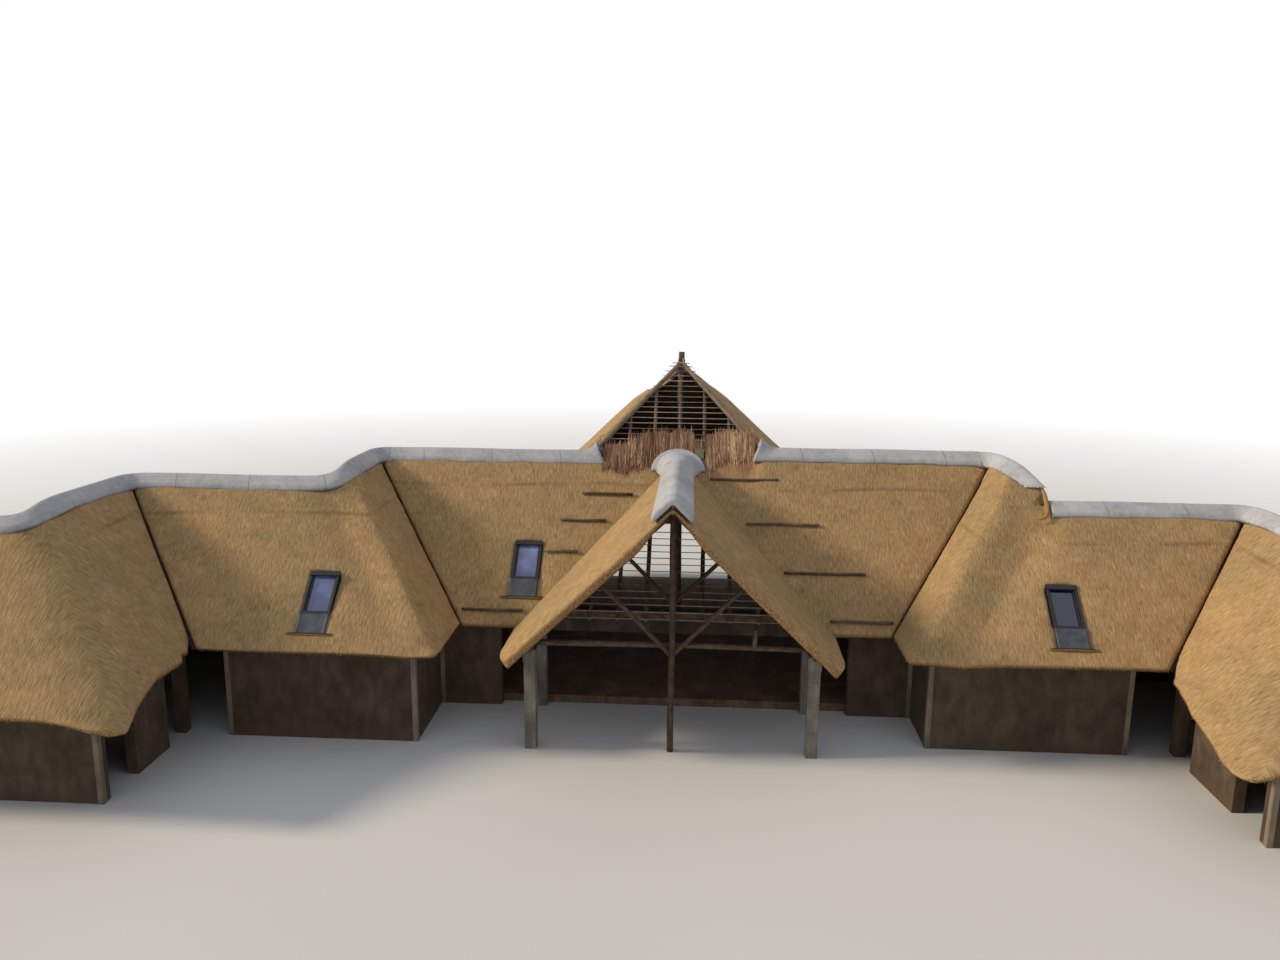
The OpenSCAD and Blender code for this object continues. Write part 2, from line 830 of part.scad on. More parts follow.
beam_end = 1.5 * thatch_t;
module porch_side_beams() {
    color("saddlebrown") placed() intersection() {
        for (s = [-1, 1])
            translate([s * column_x - side_beam_w / 2, -porch_front + beam_end, column_h])
                cube([side_beam_w, porch_front - beam_end + wall_y, porch_ridge_z]);
        porch_room();
    }
}

// A pole under the porch ridge with two slanting braces, standing at (y, z)
module braced_pole(y, z, r, from) {
    intersection() {
        union() {
            translate([0, y, z])
                cylinder(r = r, h = porch_ridge_z - z, $fn = 32);
            for (s = [-1, 1])
                translate([0, y + porch_pole_r - brace_r, from])
                    rotate([0, s * 45, 0])
                        cylinder(r = brace_r, h = porch_ridge_z / 2, $fn = 24);
        }
        porch_clear();
    }
}

// The porch room without the rafters' space just below the thatch
module porch_clear() {
    d = 2 * porch_pole_r / cos(porch_pitch);
    intersection() {
        porch_room();
        prism_y([[-porch_half, porch_under(porch_half) - d], [-porch_pole_r, porch_under(porch_pole_r) - d],
                 [-porch_pole_r, porch_ridge_z], [porch_pole_r, porch_ridge_z],
                 [porch_pole_r, porch_under(porch_pole_r) - d], [porch_half, porch_under(porch_half) - d],
                 [porch_half, -10], [-porch_half, -10]], -porch_front, 0);
    }
}

module porch_centre_pole() {
    color("saddlebrown") placed() braced_pole(-column_y, 0, porch_pole_r, brace_z);
}

// The king post stands on the wall plate, just inside the lath plane
king_y = wall_y + wall_t / 2;
module king_post_body() {
    braced_pole(king_y, beam_top, porch_pole_r * 1.2, beam_top + 3 * brace_r);
}

module porch_king_post() {
    color("saddlebrown") placed() king_post_body();
}

// Pairs of rafters under the porch thatch; the first pair stands over the tie beam
module porch_rafters() {
    c = cos(porch_pitch);
    step = 2 * rafter_pitch;
    color("saddlebrown") placed() difference() {
        intersection() {
            for (y = [tie_y, tie_y + step], s = [-1, 1])
                translate([0, y, porch_ridge_z - (thatch_t + porch_pole_r) / c])
                    rotate([0, s * (90 + porch_pitch), 0])
                        cylinder(r = porch_pole_r, h = porch_half / c, $fn = 24);
            translate([-column_x + side_beam_w / 2, -porch_front, column_h + 2 * porch_pole_r])
                cube([2 * column_x - side_beam_w, porch_front, roof_top]);
        }
        under_front(-thatch_t);
    }
}

// Roof windows
module window_frame(x, s) {
    difference() {
        slope_box(x, window_w, s, s + window_l, -thatch_t, 0);
        slope_box(x, window_w - 2 * frame_w, s + frame_w, s + window_l - frame_w, -thatch_t - 10, 10);
    }
}

module each_window() {
    on_side(-1) on_slope(wing_y(LEFT), left_wing_z) translate([left_window_x, -left_window_s, 0]) children();
    on_side(-1) on_slope(0, ridge_z) translate([centre_window_x, -centre_window_s, 0]) children();
    on_slope(wing_y(RIGHT), right_wing_z) translate([right_window_x, -right_window_s, 0]) children();
}

module roof_window_frames() {
    color("darkslategray") placed() each_window() window_frame(0, 0);
}

module roof_window_glass() {
    color("steelblue") placed() each_window()
        slope_box(0, window_w - 2 * frame_w, frame_w, window_l - frame_w,
                  -glass_depth - glass_t, -glass_depth);
}

module roof_window_aprons() {
    color("slategray") placed() each_window()
        slope_box(0, window_w, window_l, window_l + apron_l, 0, apron_t);
}

// Poles left lying on the front slope:
// [side, height, gap to the porch thatch, gap to the valley]
THATCH_POLES = [
    [-1, 5020, 200, 4935], [-1, 4450, 250, 3945], [-1, 3790, 210, 3030], [-1, 2620, 180, 185],
    [1, 5390, 285, 5160], [1, 4440, 210, 3345], [1, 3470, 100, 1460], [1, 2570, 190, 130]
];
module thatching_poles() {
    color("saddlebrown") placed() for (pole = THATCH_POLES) {
        cross = pole[0] < 0 ? LEFT[0] : RIGHT[0];
        x0 = porch_x(pole[1]) + pole[2];
        x1 = cross - (ridge_z - pole[1]) / kc - pole[3];
        on_side(pole[0]) on_slope(0, ridge_z)
            translate([x0, -(ridge_z - pole[1]) / sin(front_pitch), thatch_pole_r])
                rotate([0, 90, 0])
                    cylinder(r = thatch_pole_r, h = x1 - x0, $fn = 24);
    }
}

// Walls of one side, told as if it lay on the +X side
function return_x(p) = block_near(cross_block(p)) + wall_inset;
function wing_wall_y(p) = block_front(wing_block(p)) + wall_inset;
function end_wall_y(p) = block_front(turn_block(p)) + end_inset;
function end_wall_x(p) = block_near(turn_block(p)) + end_inset;
function outer_x(p) = end_x - end_inset;
function low_rear_y(p) = block_rear(low_block(p)) - end_inset;
function turn_outer_x(p) = block_far(turn_block(p)) - end_inset;
function wing_rear_y(p) = block_rear(wing_block(p)) - wall_inset;
function cross_outer_x(p) = block_far(cross_block(p)) - wall_inset;

module centre_front_walls() {
    color("dimgray") placed() for (side = [[LEFT, -1], [RIGHT, 1]]) on_side(side[1])
        slab(rear_open + hall_door_w, return_x(side[0]), wall_y, wall_y + wall_t);
}

module wing_front_wall(p, s) {
    color("dimgray") placed() on_side(s) {
        slab(return_x(p), end_wall_x(p) - wing_door_w, wing_wall_y(p), wing_wall_y(p) + wall_t);
        slab(return_x(p), return_x(p) + wall_t, wing_wall_y(p), wall_y + wall_t);
    }
}

module rear_wall_lines(p, z0, z1) {
    slab(cross_outer_x(p) - wall_t, turn_outer_x(p), wing_rear_y(p) - wall_t, wing_rear_y(p), z0, z1);
    slab(cross_outer_x(p) - wall_t, cross_outer_x(p), wing_rear_y(p) - wall_t, centre_rear_y, z0, z1);
    slab(side_wall_x, cross_outer_x(p), centre_rear_y - wall_t, centre_rear_y, z0, z1);
}

module end_wall_lines(p, z0, z1) {
    slab(end_wall_x(p), outer_x(p), end_wall_y(p), end_wall_y(p) + wall_t, z0, z1);
    slab(outer_x(p) - wall_t, outer_x(p), end_wall_y(p), low_rear_y(p), z0, z1);
    slab(turn_outer_x(p) - wall_t, outer_x(p), low_rear_y(p) - wall_t, low_rear_y(p), z0, z1);
    slab(turn_outer_x(p) - wall_t, turn_outer_x(p), low_rear_y(p) - wall_t, wing_rear_y(p) - wall_t, z0, z1);
}

// Piers between the doorways of the end's inner wall
module end_piers(p) {
    x = end_wall_x(p);
    y0 = end_wall_y(p) + wall_t;
    y3 = wing_wall_y(p) + wall_t;
    y2 = y3 - wall_t - corner_door_w;
    slab(x, x + wall_t, y0 + end_door_w, y2);
    slab(x, x + wall_t, y3 - wall_t, y3);
}

module end_walls(p, s) {
    color("dimgray") placed() on_side(s) {
        end_wall_lines(p, 0, door_h);
        end_piers(p);
    }
}

module ring_beam(p, s) {
    color("gray") placed() on_side(s) intersection() {
        union() {
            rear_wall_lines(p, door_h, ridge_z);
            end_wall_lines(p, door_h, ridge_z);
            slab(rear_open, return_x(p) + wall_t, wall_y, wall_y + wall_t, door_h, ridge_z);
            slab(return_x(p), return_x(p) + wall_t, wing_wall_y(p), wall_y, door_h, ridge_z);
            slab(return_x(p), end_wall_x(p), wing_wall_y(p), wing_wall_y(p) + wall_t, door_h, ridge_z);
            slab(end_wall_x(p), end_wall_x(p) + wall_t, end_wall_y(p), wing_wall_y(p) + wall_t,
                 door_h, ridge_z);
        }
        union() {
            room(centre_block(p));
            room(cross_block(p));
            room(wing_block(p));
            room(turn_block(p));
            room(low_block(p));
        }
    }
}

module left_wing_front_wall() {
    wing_front_wall(LEFT, -1);
}

module right_wing_front_wall() {
    wing_front_wall(RIGHT, 1);
}

module left_rear_wall() {
    color("dimgray") placed() on_side(-1) rear_wall_lines(LEFT, 0, door_h);
}

module right_rear_wall() {
    color("dimgray") placed() rear_wall_lines(RIGHT, 0, door_h);
}

module left_end_walls() {
    end_walls(LEFT, -1);
}

module right_end_walls() {
    end_walls(RIGHT, 1);
}

module left_ring_beam() {
    ring_beam(LEFT, -1);
}

module right_ring_beam() {
    ring_beam(RIGHT, 1);
}

thatch_hall_front();
thatch_hall_sides_and_rear();
thatch_centre_front_left();
thatch_centre_front_right();
thatch_centre_rear();
thatch_left_wing();
thatch_right_wing();
thatch_left_end();
thatch_right_end();
thatch_porch();
ridge_cap_centre_left();
ridge_cap_centre_right();
ridge_cap_left();
ridge_cap_right_cross();
ridge_cap_right_wing();
ridge_cap_porch();
valley_gutters();
hall_front_frame();
hall_hip_poles();
hall_centre_post();
hall_front_beam();
hall_wall_plate();
hall_columns();
hall_floor();
hall_walls();
hall_ring_beam();
porch_columns();
porch_centre_pole();
porch_king_post();
porch_tie_beam();
porch_side_beams();
porch_rafters();
roof_window_frames();
roof_window_aprons();
roof_window_glass();
thatching_poles();
centre_front_walls();
left_wing_front_wall();
left_rear_wall();
left_end_walls();
left_ring_beam();
right_wing_front_wall();
right_rear_wall();
right_end_walls();
right_ring_beam();
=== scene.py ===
import math

import bmesh
import bpy
import numpy as np
from mathutils import Matrix, Vector


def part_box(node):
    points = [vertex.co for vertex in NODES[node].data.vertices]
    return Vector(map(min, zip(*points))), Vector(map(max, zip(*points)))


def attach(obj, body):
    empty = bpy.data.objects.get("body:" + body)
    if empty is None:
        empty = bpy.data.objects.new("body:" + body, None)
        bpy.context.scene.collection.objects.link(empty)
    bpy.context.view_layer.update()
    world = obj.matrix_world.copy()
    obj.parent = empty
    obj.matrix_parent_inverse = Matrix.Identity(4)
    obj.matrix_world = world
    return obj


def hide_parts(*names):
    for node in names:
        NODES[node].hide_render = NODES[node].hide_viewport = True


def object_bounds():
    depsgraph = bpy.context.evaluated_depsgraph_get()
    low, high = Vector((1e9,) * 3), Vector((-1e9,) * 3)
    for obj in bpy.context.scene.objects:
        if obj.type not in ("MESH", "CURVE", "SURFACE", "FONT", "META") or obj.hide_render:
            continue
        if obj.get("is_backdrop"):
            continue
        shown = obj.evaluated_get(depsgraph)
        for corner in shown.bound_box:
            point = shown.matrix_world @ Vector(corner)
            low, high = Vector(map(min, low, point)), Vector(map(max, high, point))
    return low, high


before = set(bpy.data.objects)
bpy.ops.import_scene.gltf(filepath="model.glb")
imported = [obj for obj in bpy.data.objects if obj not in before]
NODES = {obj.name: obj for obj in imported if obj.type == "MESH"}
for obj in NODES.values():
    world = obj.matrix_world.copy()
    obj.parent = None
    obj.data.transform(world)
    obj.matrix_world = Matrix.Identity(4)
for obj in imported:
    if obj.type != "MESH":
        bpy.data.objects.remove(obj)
cad_low, cad_high = (tuple(corner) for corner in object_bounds())

# Driving sizes of the roofs, as in the frame
RIDGE_Z, LEFT_RIDGE_Z, RIGHT_RIDGE_Z, PORCH_RIDGE_Z = 6.0, 5.65, 5.35, 5.93
END_DROP = 0.3
THATCH, LATH, LATH_STEP = 0.2, 0.025, 0.19
# Stitched line below each ridge, and the lengths in which the ridge mortar was poured
STITCH_DEPTH, POUR_LENGTH = 1.12, 1.85
FRONT_PITCH, PORCH_PITCH = math.radians(44.7), math.radians(43.69)
FRONT_TAN, PORCH_TAN = math.tan(FRONT_PITCH), 0.955
CROSS_TAN, END_TAN = math.tan(math.radians(49)), math.tan(math.radians(45.6))
PEAK_Y = 2.496
POST_LOW, POST_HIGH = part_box("hall_centre_post")
PEAK = Vector(((POST_LOW.x + POST_HIGH.x) / 2, (POST_LOW.y + POST_HIGH.y) / 2, RIDGE_Z + PEAK_Y * FRONT_TAN))
RIDGE_Y = PEAK.y - PEAK_Y
HALL_FRONT_HALF = 2.0
RANDOM = np.random.default_rng(7)

# Axes of the front slope: across it, down it and out of it
ACROSS = Vector((1, 0, 0))
DOWN = Vector((0, -math.cos(FRONT_PITCH), -math.sin(FRONT_PITCH)))
OUT = Vector((0, -math.sin(FRONT_PITCH), math.cos(FRONT_PITCH)))
DOWN_AXIS, OUT_AXIS = np.array(DOWN), np.array(OUT)
SLOPE_AXES = (ACROSS, DOWN, OUT)
LEVEL_AXES = (ACROSS, Vector((0, 1, 0)), Vector((0, 0, 1)))


def slope_place(x, s, h):
    """Place on the front slope, s metres down it and h metres out of it, from the frame's zero."""
    return Vector((x, 0, 0)) + DOWN * s + OUT * h


def on_front(x, s, h):
    """The same, from the centre range's ridge line."""
    return Vector((x, RIDGE_Y, RIDGE_Z)) + DOWN * s + OUT * h


# Small mesh tools

def unit(vectors):
    return vectors / np.maximum(np.linalg.norm(vectors, axis=1), 1e-12)[:, None]


def smooth_step(x, low, high):
    t = np.clip((x - low) / (high - low), 0, 1)
    return t * t * (3 - 2 * t)


def way_along(path):
    """Distance from the start for each point of a path."""
    return np.concatenate([[0], np.cumsum(np.linalg.norm(np.diff(path, axis=0), axis=1))])


def moved(co, x=0, y=0, z=0):
    return np.stack([co[:, 0] + x, co[:, 1] + y, co[:, 2] + z], 1)


def value_noise(points, size, seed=0):
    """Smooth noise from -1 to 1 with lumps of the given size, one value a point."""
    p = np.asarray(points, float) / size
    cell = np.floor(p).astype(np.int64)
    f = p - cell
    f = f * f * (3 - 2 * f)
    total = np.zeros(len(p))
    for corner in range(8):
        step = np.array([corner & 1, corner >> 1 & 1, corner >> 2 & 1])
        k = (cell + step) * np.array([73856093, 19349663, 83492791])
        h = (k[:, 0] ^ k[:, 1] ^ k[:, 2]) + seed * 265443
        h = ((h ^ (h >> 13)) * 1274126177) & 0xFFFFFFFF
        h = (h ^ (h >> 16)) & 0xFFFFFF
        total += np.prod(np.where(step, f, 1 - f), axis=1) * (h / 0xFFFFFF * 2 - 1)
    return total


def flat_noise(x, y, size, seed):
    return value_noise(np.stack([x, y, x * 0], 1), size, seed)


def link(name, data):
    obj = bpy.data.objects.new(name, data)
    bpy.context.scene.collection.objects.link(obj)
    return obj


def set_values(mesh, key, values):
    mesh.attributes.new(key, "FLOAT", "POINT").data.foreach_set("value", np.asarray(values, np.float32))


def piece_of(mesh, name, material, replaces):
    """A visible piece of the building from a mesh."""
    mesh.materials.append(material)
    obj = link(name, mesh)
    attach(obj, "root")
    if replaces:
        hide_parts(*replaces)
    return obj


def add_piece(name, co, faces, material, replaces=(), uv=None, smooth=True, values=None):
    """Makes a piece from corner places and faces, which are quads in an array or a list."""
    mesh = bpy.data.meshes.new(name)
    if isinstance(faces, np.ndarray):
        mesh.vertices.add(len(co))
        mesh.vertices.foreach_set("co", np.asarray(co, np.float32).ravel())
        mesh.loops.add(faces.size)
        mesh.loops.foreach_set("vertex_index", faces.astype(np.int32).ravel())
        mesh.polygons.add(len(faces))
        mesh.polygons.foreach_set("loop_start", np.arange(0, faces.size, 4, dtype=np.int32))
        mesh.update(calc_edges=True)
    else:
        mesh.from_pydata([tuple(c) for c in co], [], faces)
    if uv is not None:
        mesh.uv_layers.new(name="UVMap").data.foreach_set("uv", np.asarray(uv, np.float32).ravel())
    for key, value in (values or {}).items():
        set_values(mesh, key, value)
    mesh.validate()
    mesh.polygons.foreach_set("use_smooth", np.full(len(mesh.polygons), smooth))
    return piece_of(mesh, name, material, replaces)


def welded_solids(nodes):
    bm = bmesh.new()
    for n in nodes:
        bm.from_mesh(NODES[n].data)
    bmesh.ops.remove_doubles(bm, verts=bm.verts, dist=1e-4)
    return bm


def even_mesh(bm, voxel):
    """Corner places and quads of an even mesh round closed solids, which are joined by it."""
    work = bpy.data.meshes.new("work")
    bm.to_mesh(work)
    bm.free()
    obj = link("work", work)
    even = obj.modifiers.new("even", "REMESH")
    even.mode = "VOXEL"
    even.voxel_size = voxel
    out = bpy.data.meshes.new_from_object(obj.evaluated_get(bpy.context.evaluated_depsgraph_get()))
    co = np.empty(len(out.vertices) * 3)
    out.vertices.foreach_get("co", co)
    quads = np.empty(len(out.loops), np.int32)
    out.loops.foreach_get("vertex_index", quads)
    bpy.data.objects.remove(obj)
    bpy.data.meshes.remove(work)
    bpy.data.meshes.remove(out)
    return co.reshape(-1, 3), quads.reshape(-1, 4)


def crossed(co, quads):
    """Normal of each quad, as long as twice its area."""
    return np.cross(co[quads[:, 2]] - co[quads[:, 0]], co[quads[:, 3]] - co[quads[:, 1]])


def vertex_normals(co, quads):
    n = crossed(co, quads)
    total = [sum(np.bincount(quads[:, i], n[:, a], len(co)) for i in range(4)) for a in range(3)]
    return unit(np.stack(total, 1))


def edge_list(quads):
    pairs = np.concatenate([quads[:, [i, (i + 1) % 4]] for i in range(4)])
    pairs.sort(axis=1)
    return np.unique(pairs, axis=0)


def pull_to_neighbours(co, edges):
    """Vector from each corner to the middle of its neighbours along the given edges."""
    count = np.bincount(edges.ravel(), minlength=len(co))
    total = np.stack([np.bincount(edges[:, 0], co[edges[:, 1], a], len(co))
                      + np.bincount(edges[:, 1], co[edges[:, 0], a], len(co)) for a in range(3)], 1)
    return np.where(count[:, None] > 0, total / np.maximum(count, 1)[:, None] - co, 0)


def relax(co, edges, steps):
    """Rounds sharp edges with little loss of size."""
    for _ in range(steps):
        co = co + 0.5 * pull_to_neighbours(co, edges)
        co = co - 0.47 * pull_to_neighbours(co, edges)
    return co


def soften_creases(co, quads, edges, chosen, steps):
    """Rounds creases among the chosen corners. Each moves along its own normal only, so that
    straight borders stay where they are."""
    inner = edges[chosen[edges[:, 0]] & chosen[edges[:, 1]]]
    for _ in range(steps):
        n = vertex_normals(co, quads)
        co = co + 0.5 * (pull_to_neighbours(co, inner) * n).sum(1)[:, None] * n * chosen[:, None]
    return co


def inside_box(co, nodes, spare):
    low = np.min([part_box(n)[0] for n in nodes], axis=0) - spare
    high = np.max([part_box(n)[1] for n in nodes], axis=0) + spare
    return np.clip(co, np.maximum(low, cad_low), np.minimum(high, cad_high))


# Knots of a raw pole: one for so many metres, their length and how far they swell
KNOT_STEP, KNOT_LENGTH, KNOT_SWELL = 1.3, 0.07, 0.16
ANY_TURN = 6.28


class Parts:
    """Collects tubes, blades and bars into one mesh, with lengths in metres as UV."""

    def __init__(self):
        self.co, self.faces, self.uv, self.tint = [], [], [], []

    def tube(self, path, radii, sides=10, tint=0.5, twist=0.0):
        """A closed tube. The radii are one a ring, or one for each side of each ring."""
        path = np.asarray(path, float)
        along = unit(np.gradient(path, axis=0))
        up = [0.0, 0.0, 1.0] if abs(along[0][2]) < 0.9 else [1.0, 0.0, 0.0]
        side = unit(np.cross(along, up))
        other = np.cross(side, along)
        length = way_along(path)
        radii = np.broadcast_to(radii, (len(path), sides))
        angle = np.arange(sides) / sides * 2 * math.pi + twist
        first = len(self.co)
        for i, centre in enumerate(path):
            for k, a in enumerate(angle):
                self.co.append(centre + (side[i] * math.cos(a) + other[i] * math.sin(a)) * radii[i][k])
        self.tint += [tint] * (len(path) * sides)
        around = 2 * math.pi * float(np.mean(radii))
        for i in range(len(path) - 1):
            for k in range(sides):
                n = (k + 1) % sides
                a = first + i * sides
                b = a + sides
                self.faces.append((a + k, a + n, b + n, b + k))
                u0, u1 = k / sides * around, (k + 1) / sides * around
                self.uv += [(u0, length[i]), (u1, length[i]), (u1, length[i + 1]), (u0, length[i + 1])]
        last = first + (len(path) - 1) * sides
        for ring, order in ((first, range(sides - 1, -1, -1)), (last, range(sides))):
            self.faces.append(tuple(ring + k for k in order))
            self.uv += [(0.5 * around + 0.02 * math.cos(angle[k]), 0.02 * math.sin(angle[k])) for k in order]

    def pole(self, a, b, r0, r1, bend=0.0, seed=0, sides=10, step=0.16, tint=0.5, rough=0.05):
        """A raw pole: tapered, a little bent, with swellings where branches were."""
        a, b = np.asarray(a, float), np.asarray(b, float)
        size = np.linalg.norm(b - a)
        n = max(3, int(size / step) + 1)
        t = np.linspace(0, 1, n)
        draw = np.random.default_rng(seed)
        sway = np.cross((b - a) / size, draw.normal(size=3))
        sway /= max(np.linalg.norm(sway), 1e-9)
        path = a + np.outer(t, b - a) + np.outer(np.sin(t * math.pi) * bend, sway)
        second = np.sin(t * math.pi * (2 + draw.random())) * bend * 0.35
        path += np.outer(second, np.cross(sway, (b - a) / size))
        angle = np.arange(sides) / sides * 2 * math.pi
        ring = np.stack([np.tile(np.cos(angle) * 0.5, (n, 1)), np.tile(np.sin(angle) * 0.5, (n, 1)),
                         np.repeat(t[:, None] * size * 1.4, sides, 1)], -1).reshape(-1, 3)
        lump = value_noise(ring, 0.45, seed + 11).reshape(n, sides)
        radii = (r0 + (r1 - r0) * t)[:, None] * (1 + rough * lump)
        for knot in draw.random(max(1, int(size / KNOT_STEP))):
            near = np.exp(-((t - knot) * size / KNOT_LENGTH) ** 2)
            lobe = np.maximum(0, np.cos(angle - draw.random() * ANY_TURN)) ** 3
            radii *= 1 + KNOT_SWELL * near[:, None] * lobe[None, :]
        self.tube(path, radii, sides, tint, draw.random() * ANY_TURN)

    def blades(self, roots, ways, lifts, lengths, widths, bends, tints):
        """Flat blades of straw: each goes from its root along its way and bends by some metres
        along its lift."""
        side = unit(np.cross(ways, lifts))
        first = len(self.co)
        rows = []
        for t, w in ((0.0, 1.0), (0.5, 0.9), (1.0, 0.35)):
            centre = roots + ways * (lengths * t)[:, None] + lifts * (bends * t * t)[:, None]
            half = side * (widths * w / 2)[:, None]
            rows += [centre - half, centre + half]
        self.co += list(np.stack(rows, 1).reshape(-1, 3))
        self.tint += list(np.repeat(tints, 6))
        for i, (w, h) in enumerate(zip(widths, lengths / 2)):
            k = first + i * 6
            self.faces += [(k, k + 1, k + 3, k + 2), (k + 2, k + 3, k + 5, k + 4)]
            self.uv += [(0, 0), (w, 0), (w, h), (0, h), (0, h), (w, h), (w, 2 * h), (0, 2 * h)]

    def bar(self, centre, size, edge=0.004, axes=SLOPE_AXES):
        """A bar with chamfered edges and its sizes along the given axes."""
        half = [s / 2 for s in size]
        bm = bmesh.new()
        bmesh.ops.create_cube(bm, size=2)
        bmesh.ops.scale(bm, vec=half, verts=bm.verts)
        bmesh.ops.bevel(bm, geom=bm.edges[:], offset=min(edge, min(half) * 0.4), segments=2, affect="EDGES",
                        profile=0.6)
        turn = Matrix(axes).transposed().to_4x4()
        turn.translation = centre
        bmesh.ops.transform(bm, matrix=turn, verts=bm.verts)
        first = len(self.co)
        bm.verts.index_update()
        longest = axes[int(np.argmax(size))]
        self.co += [np.array(v.co) for v in bm.verts]
        self.tint += [0.5] * len(bm.verts)
        for f in bm.faces:
            self.faces.append(tuple(first + v.index for v in f.verts))
            across = f.normal.cross(longest)
            self.uv += [(v.co.dot(across), v.co.dot(longest)) for v in f.verts]
        bm.free()

    def make(self, name, material, slot, replaces=(), smooth=True):
        add_piece(name, self.co, self.faces, material, replaces, self.uv, smooth, {"tint": self.tint})


# Materials

def linear(colour):
    """Three screen values from 0 to 255 as linear light. Anything else stays as it is."""
    if not isinstance(colour, tuple) or len(colour) != 3:
        return colour
    shares = [c / 255 for c in colour]
    return tuple(c / 12.92 if c <= 0.04045 else ((c + 0.055) / 1.055) ** 2.4 for c in shares) + (1.0,)


class Nodes:
    """A small help to write node trees in one line a node."""

    def __init__(self, tree):
        self.tree = tree

    def put(self, socket, value):
        if isinstance(value, bpy.types.NodeSocket):
            self.tree.links.new(value, socket)
        elif value is not None:
            socket.default_value = value

    def node(self, kind, inputs=(), **settings):
        n = self.tree.nodes.new("ShaderNode" + kind)
        for key, value in settings.items():
            setattr(n, key, value)
        for key, value in dict(inputs).items():
            self.put(n.inputs[key], value)
        return n

    def math(self, operation, a, b=None):
        return self.node("Math", {0: a, 1: b}, operation=operation).outputs[0]


class Shader(Nodes):
    """The node tree of a new material."""

    def __init__(self, name):
        self.material = bpy.data.materials.new(name)
        self.material.use_nodes = True
        super().__init__(self.material.node_tree)
        self.surface = self.tree.nodes["Principled BSDF"]

    def place(self, scale=(1, 1, 1), uv=False):
        source = self.node("TexCoord").outputs["UV" if uv else "Object"]
        return self.node("Mapping", {"Vector": source, "Scale": scale}).outputs["Vector"]

    def axis(self, name, vector=None):
        return self.node("SeparateXYZ", {"Vector": vector or self.place()}).outputs[name]

    def noise(self, scale, detail=3.0, rough=0.55, uv=False):
        return self.node("TexNoise", {"Vector": self.place(scale, uv), "Scale": 1.0, "Detail": detail,
                                      "Roughness": rough}).outputs["Fac"]

    def spots(self, scale, edge, middle, uv=False):
        """Round spots: 0 outside, and 1 closer to their centres than the middle distance."""
        n = self.node("TexVoronoi", {"Vector": self.place(scale, uv), "Scale": 1.0})
        return self.spread(n.outputs["Distance"], edge, middle)

    def spread(self, value, low, high, to_low=0.0, to_high=1.0):
        return self.node("MapRange", {"Value": value, "From Min": low, "From Max": high,
                                      "To Min": to_low, "To Max": to_high}).outputs[0]

    def attribute(self, name):
        return self.node("Attribute", attribute_name=name).outputs["Fac"]

    def total(self, *parts):
        """Sum of values, each times its weight."""
        terms = [self.math("MULTIPLY", value, weight) for value, weight in parts]
        result = terms[0]
        for term in terms[1:]:
            result = self.math("ADD", result, term)
        return result

    def ramp(self, value, stops):
        """Colours by position."""
        n = self.node("ValToRGB", {"Fac": value})
        elements = n.color_ramp.elements
        for i, (at, colour) in enumerate(stops.items()):
            e = elements[i] if i < 2 else elements.new(at)
            e.position = at
            e.color = linear(colour)
        return n.outputs["Color"]

    def cover(self, colour, other, share, amount=1.0):
        """Another colour over a colour, by a share times an amount."""
        share = self.math("MULTIPLY", share, amount)
        return self.node("Mix", {0: share, 6: colour, 7: linear(other)}, data_type="RGBA").outputs[2]

    def finish(self, colour, roughness, specular=0.2, bump=None, metallic=0.0):
        """Sets the surface. The bump is a height, its distance in metres and its strength."""
        values = {"Base Color": colour, "Roughness": roughness, "Specular IOR Level": specular,
                  "Metallic": metallic}
        if bump:
            keys = ("Height", "Distance", "Strength")
            values["Normal"] = self.node("Bump", zip(keys, bump)).outputs["Normal"]
        for key, value in values.items():
            self.put(self.surface.inputs[key], value)
        return self.material


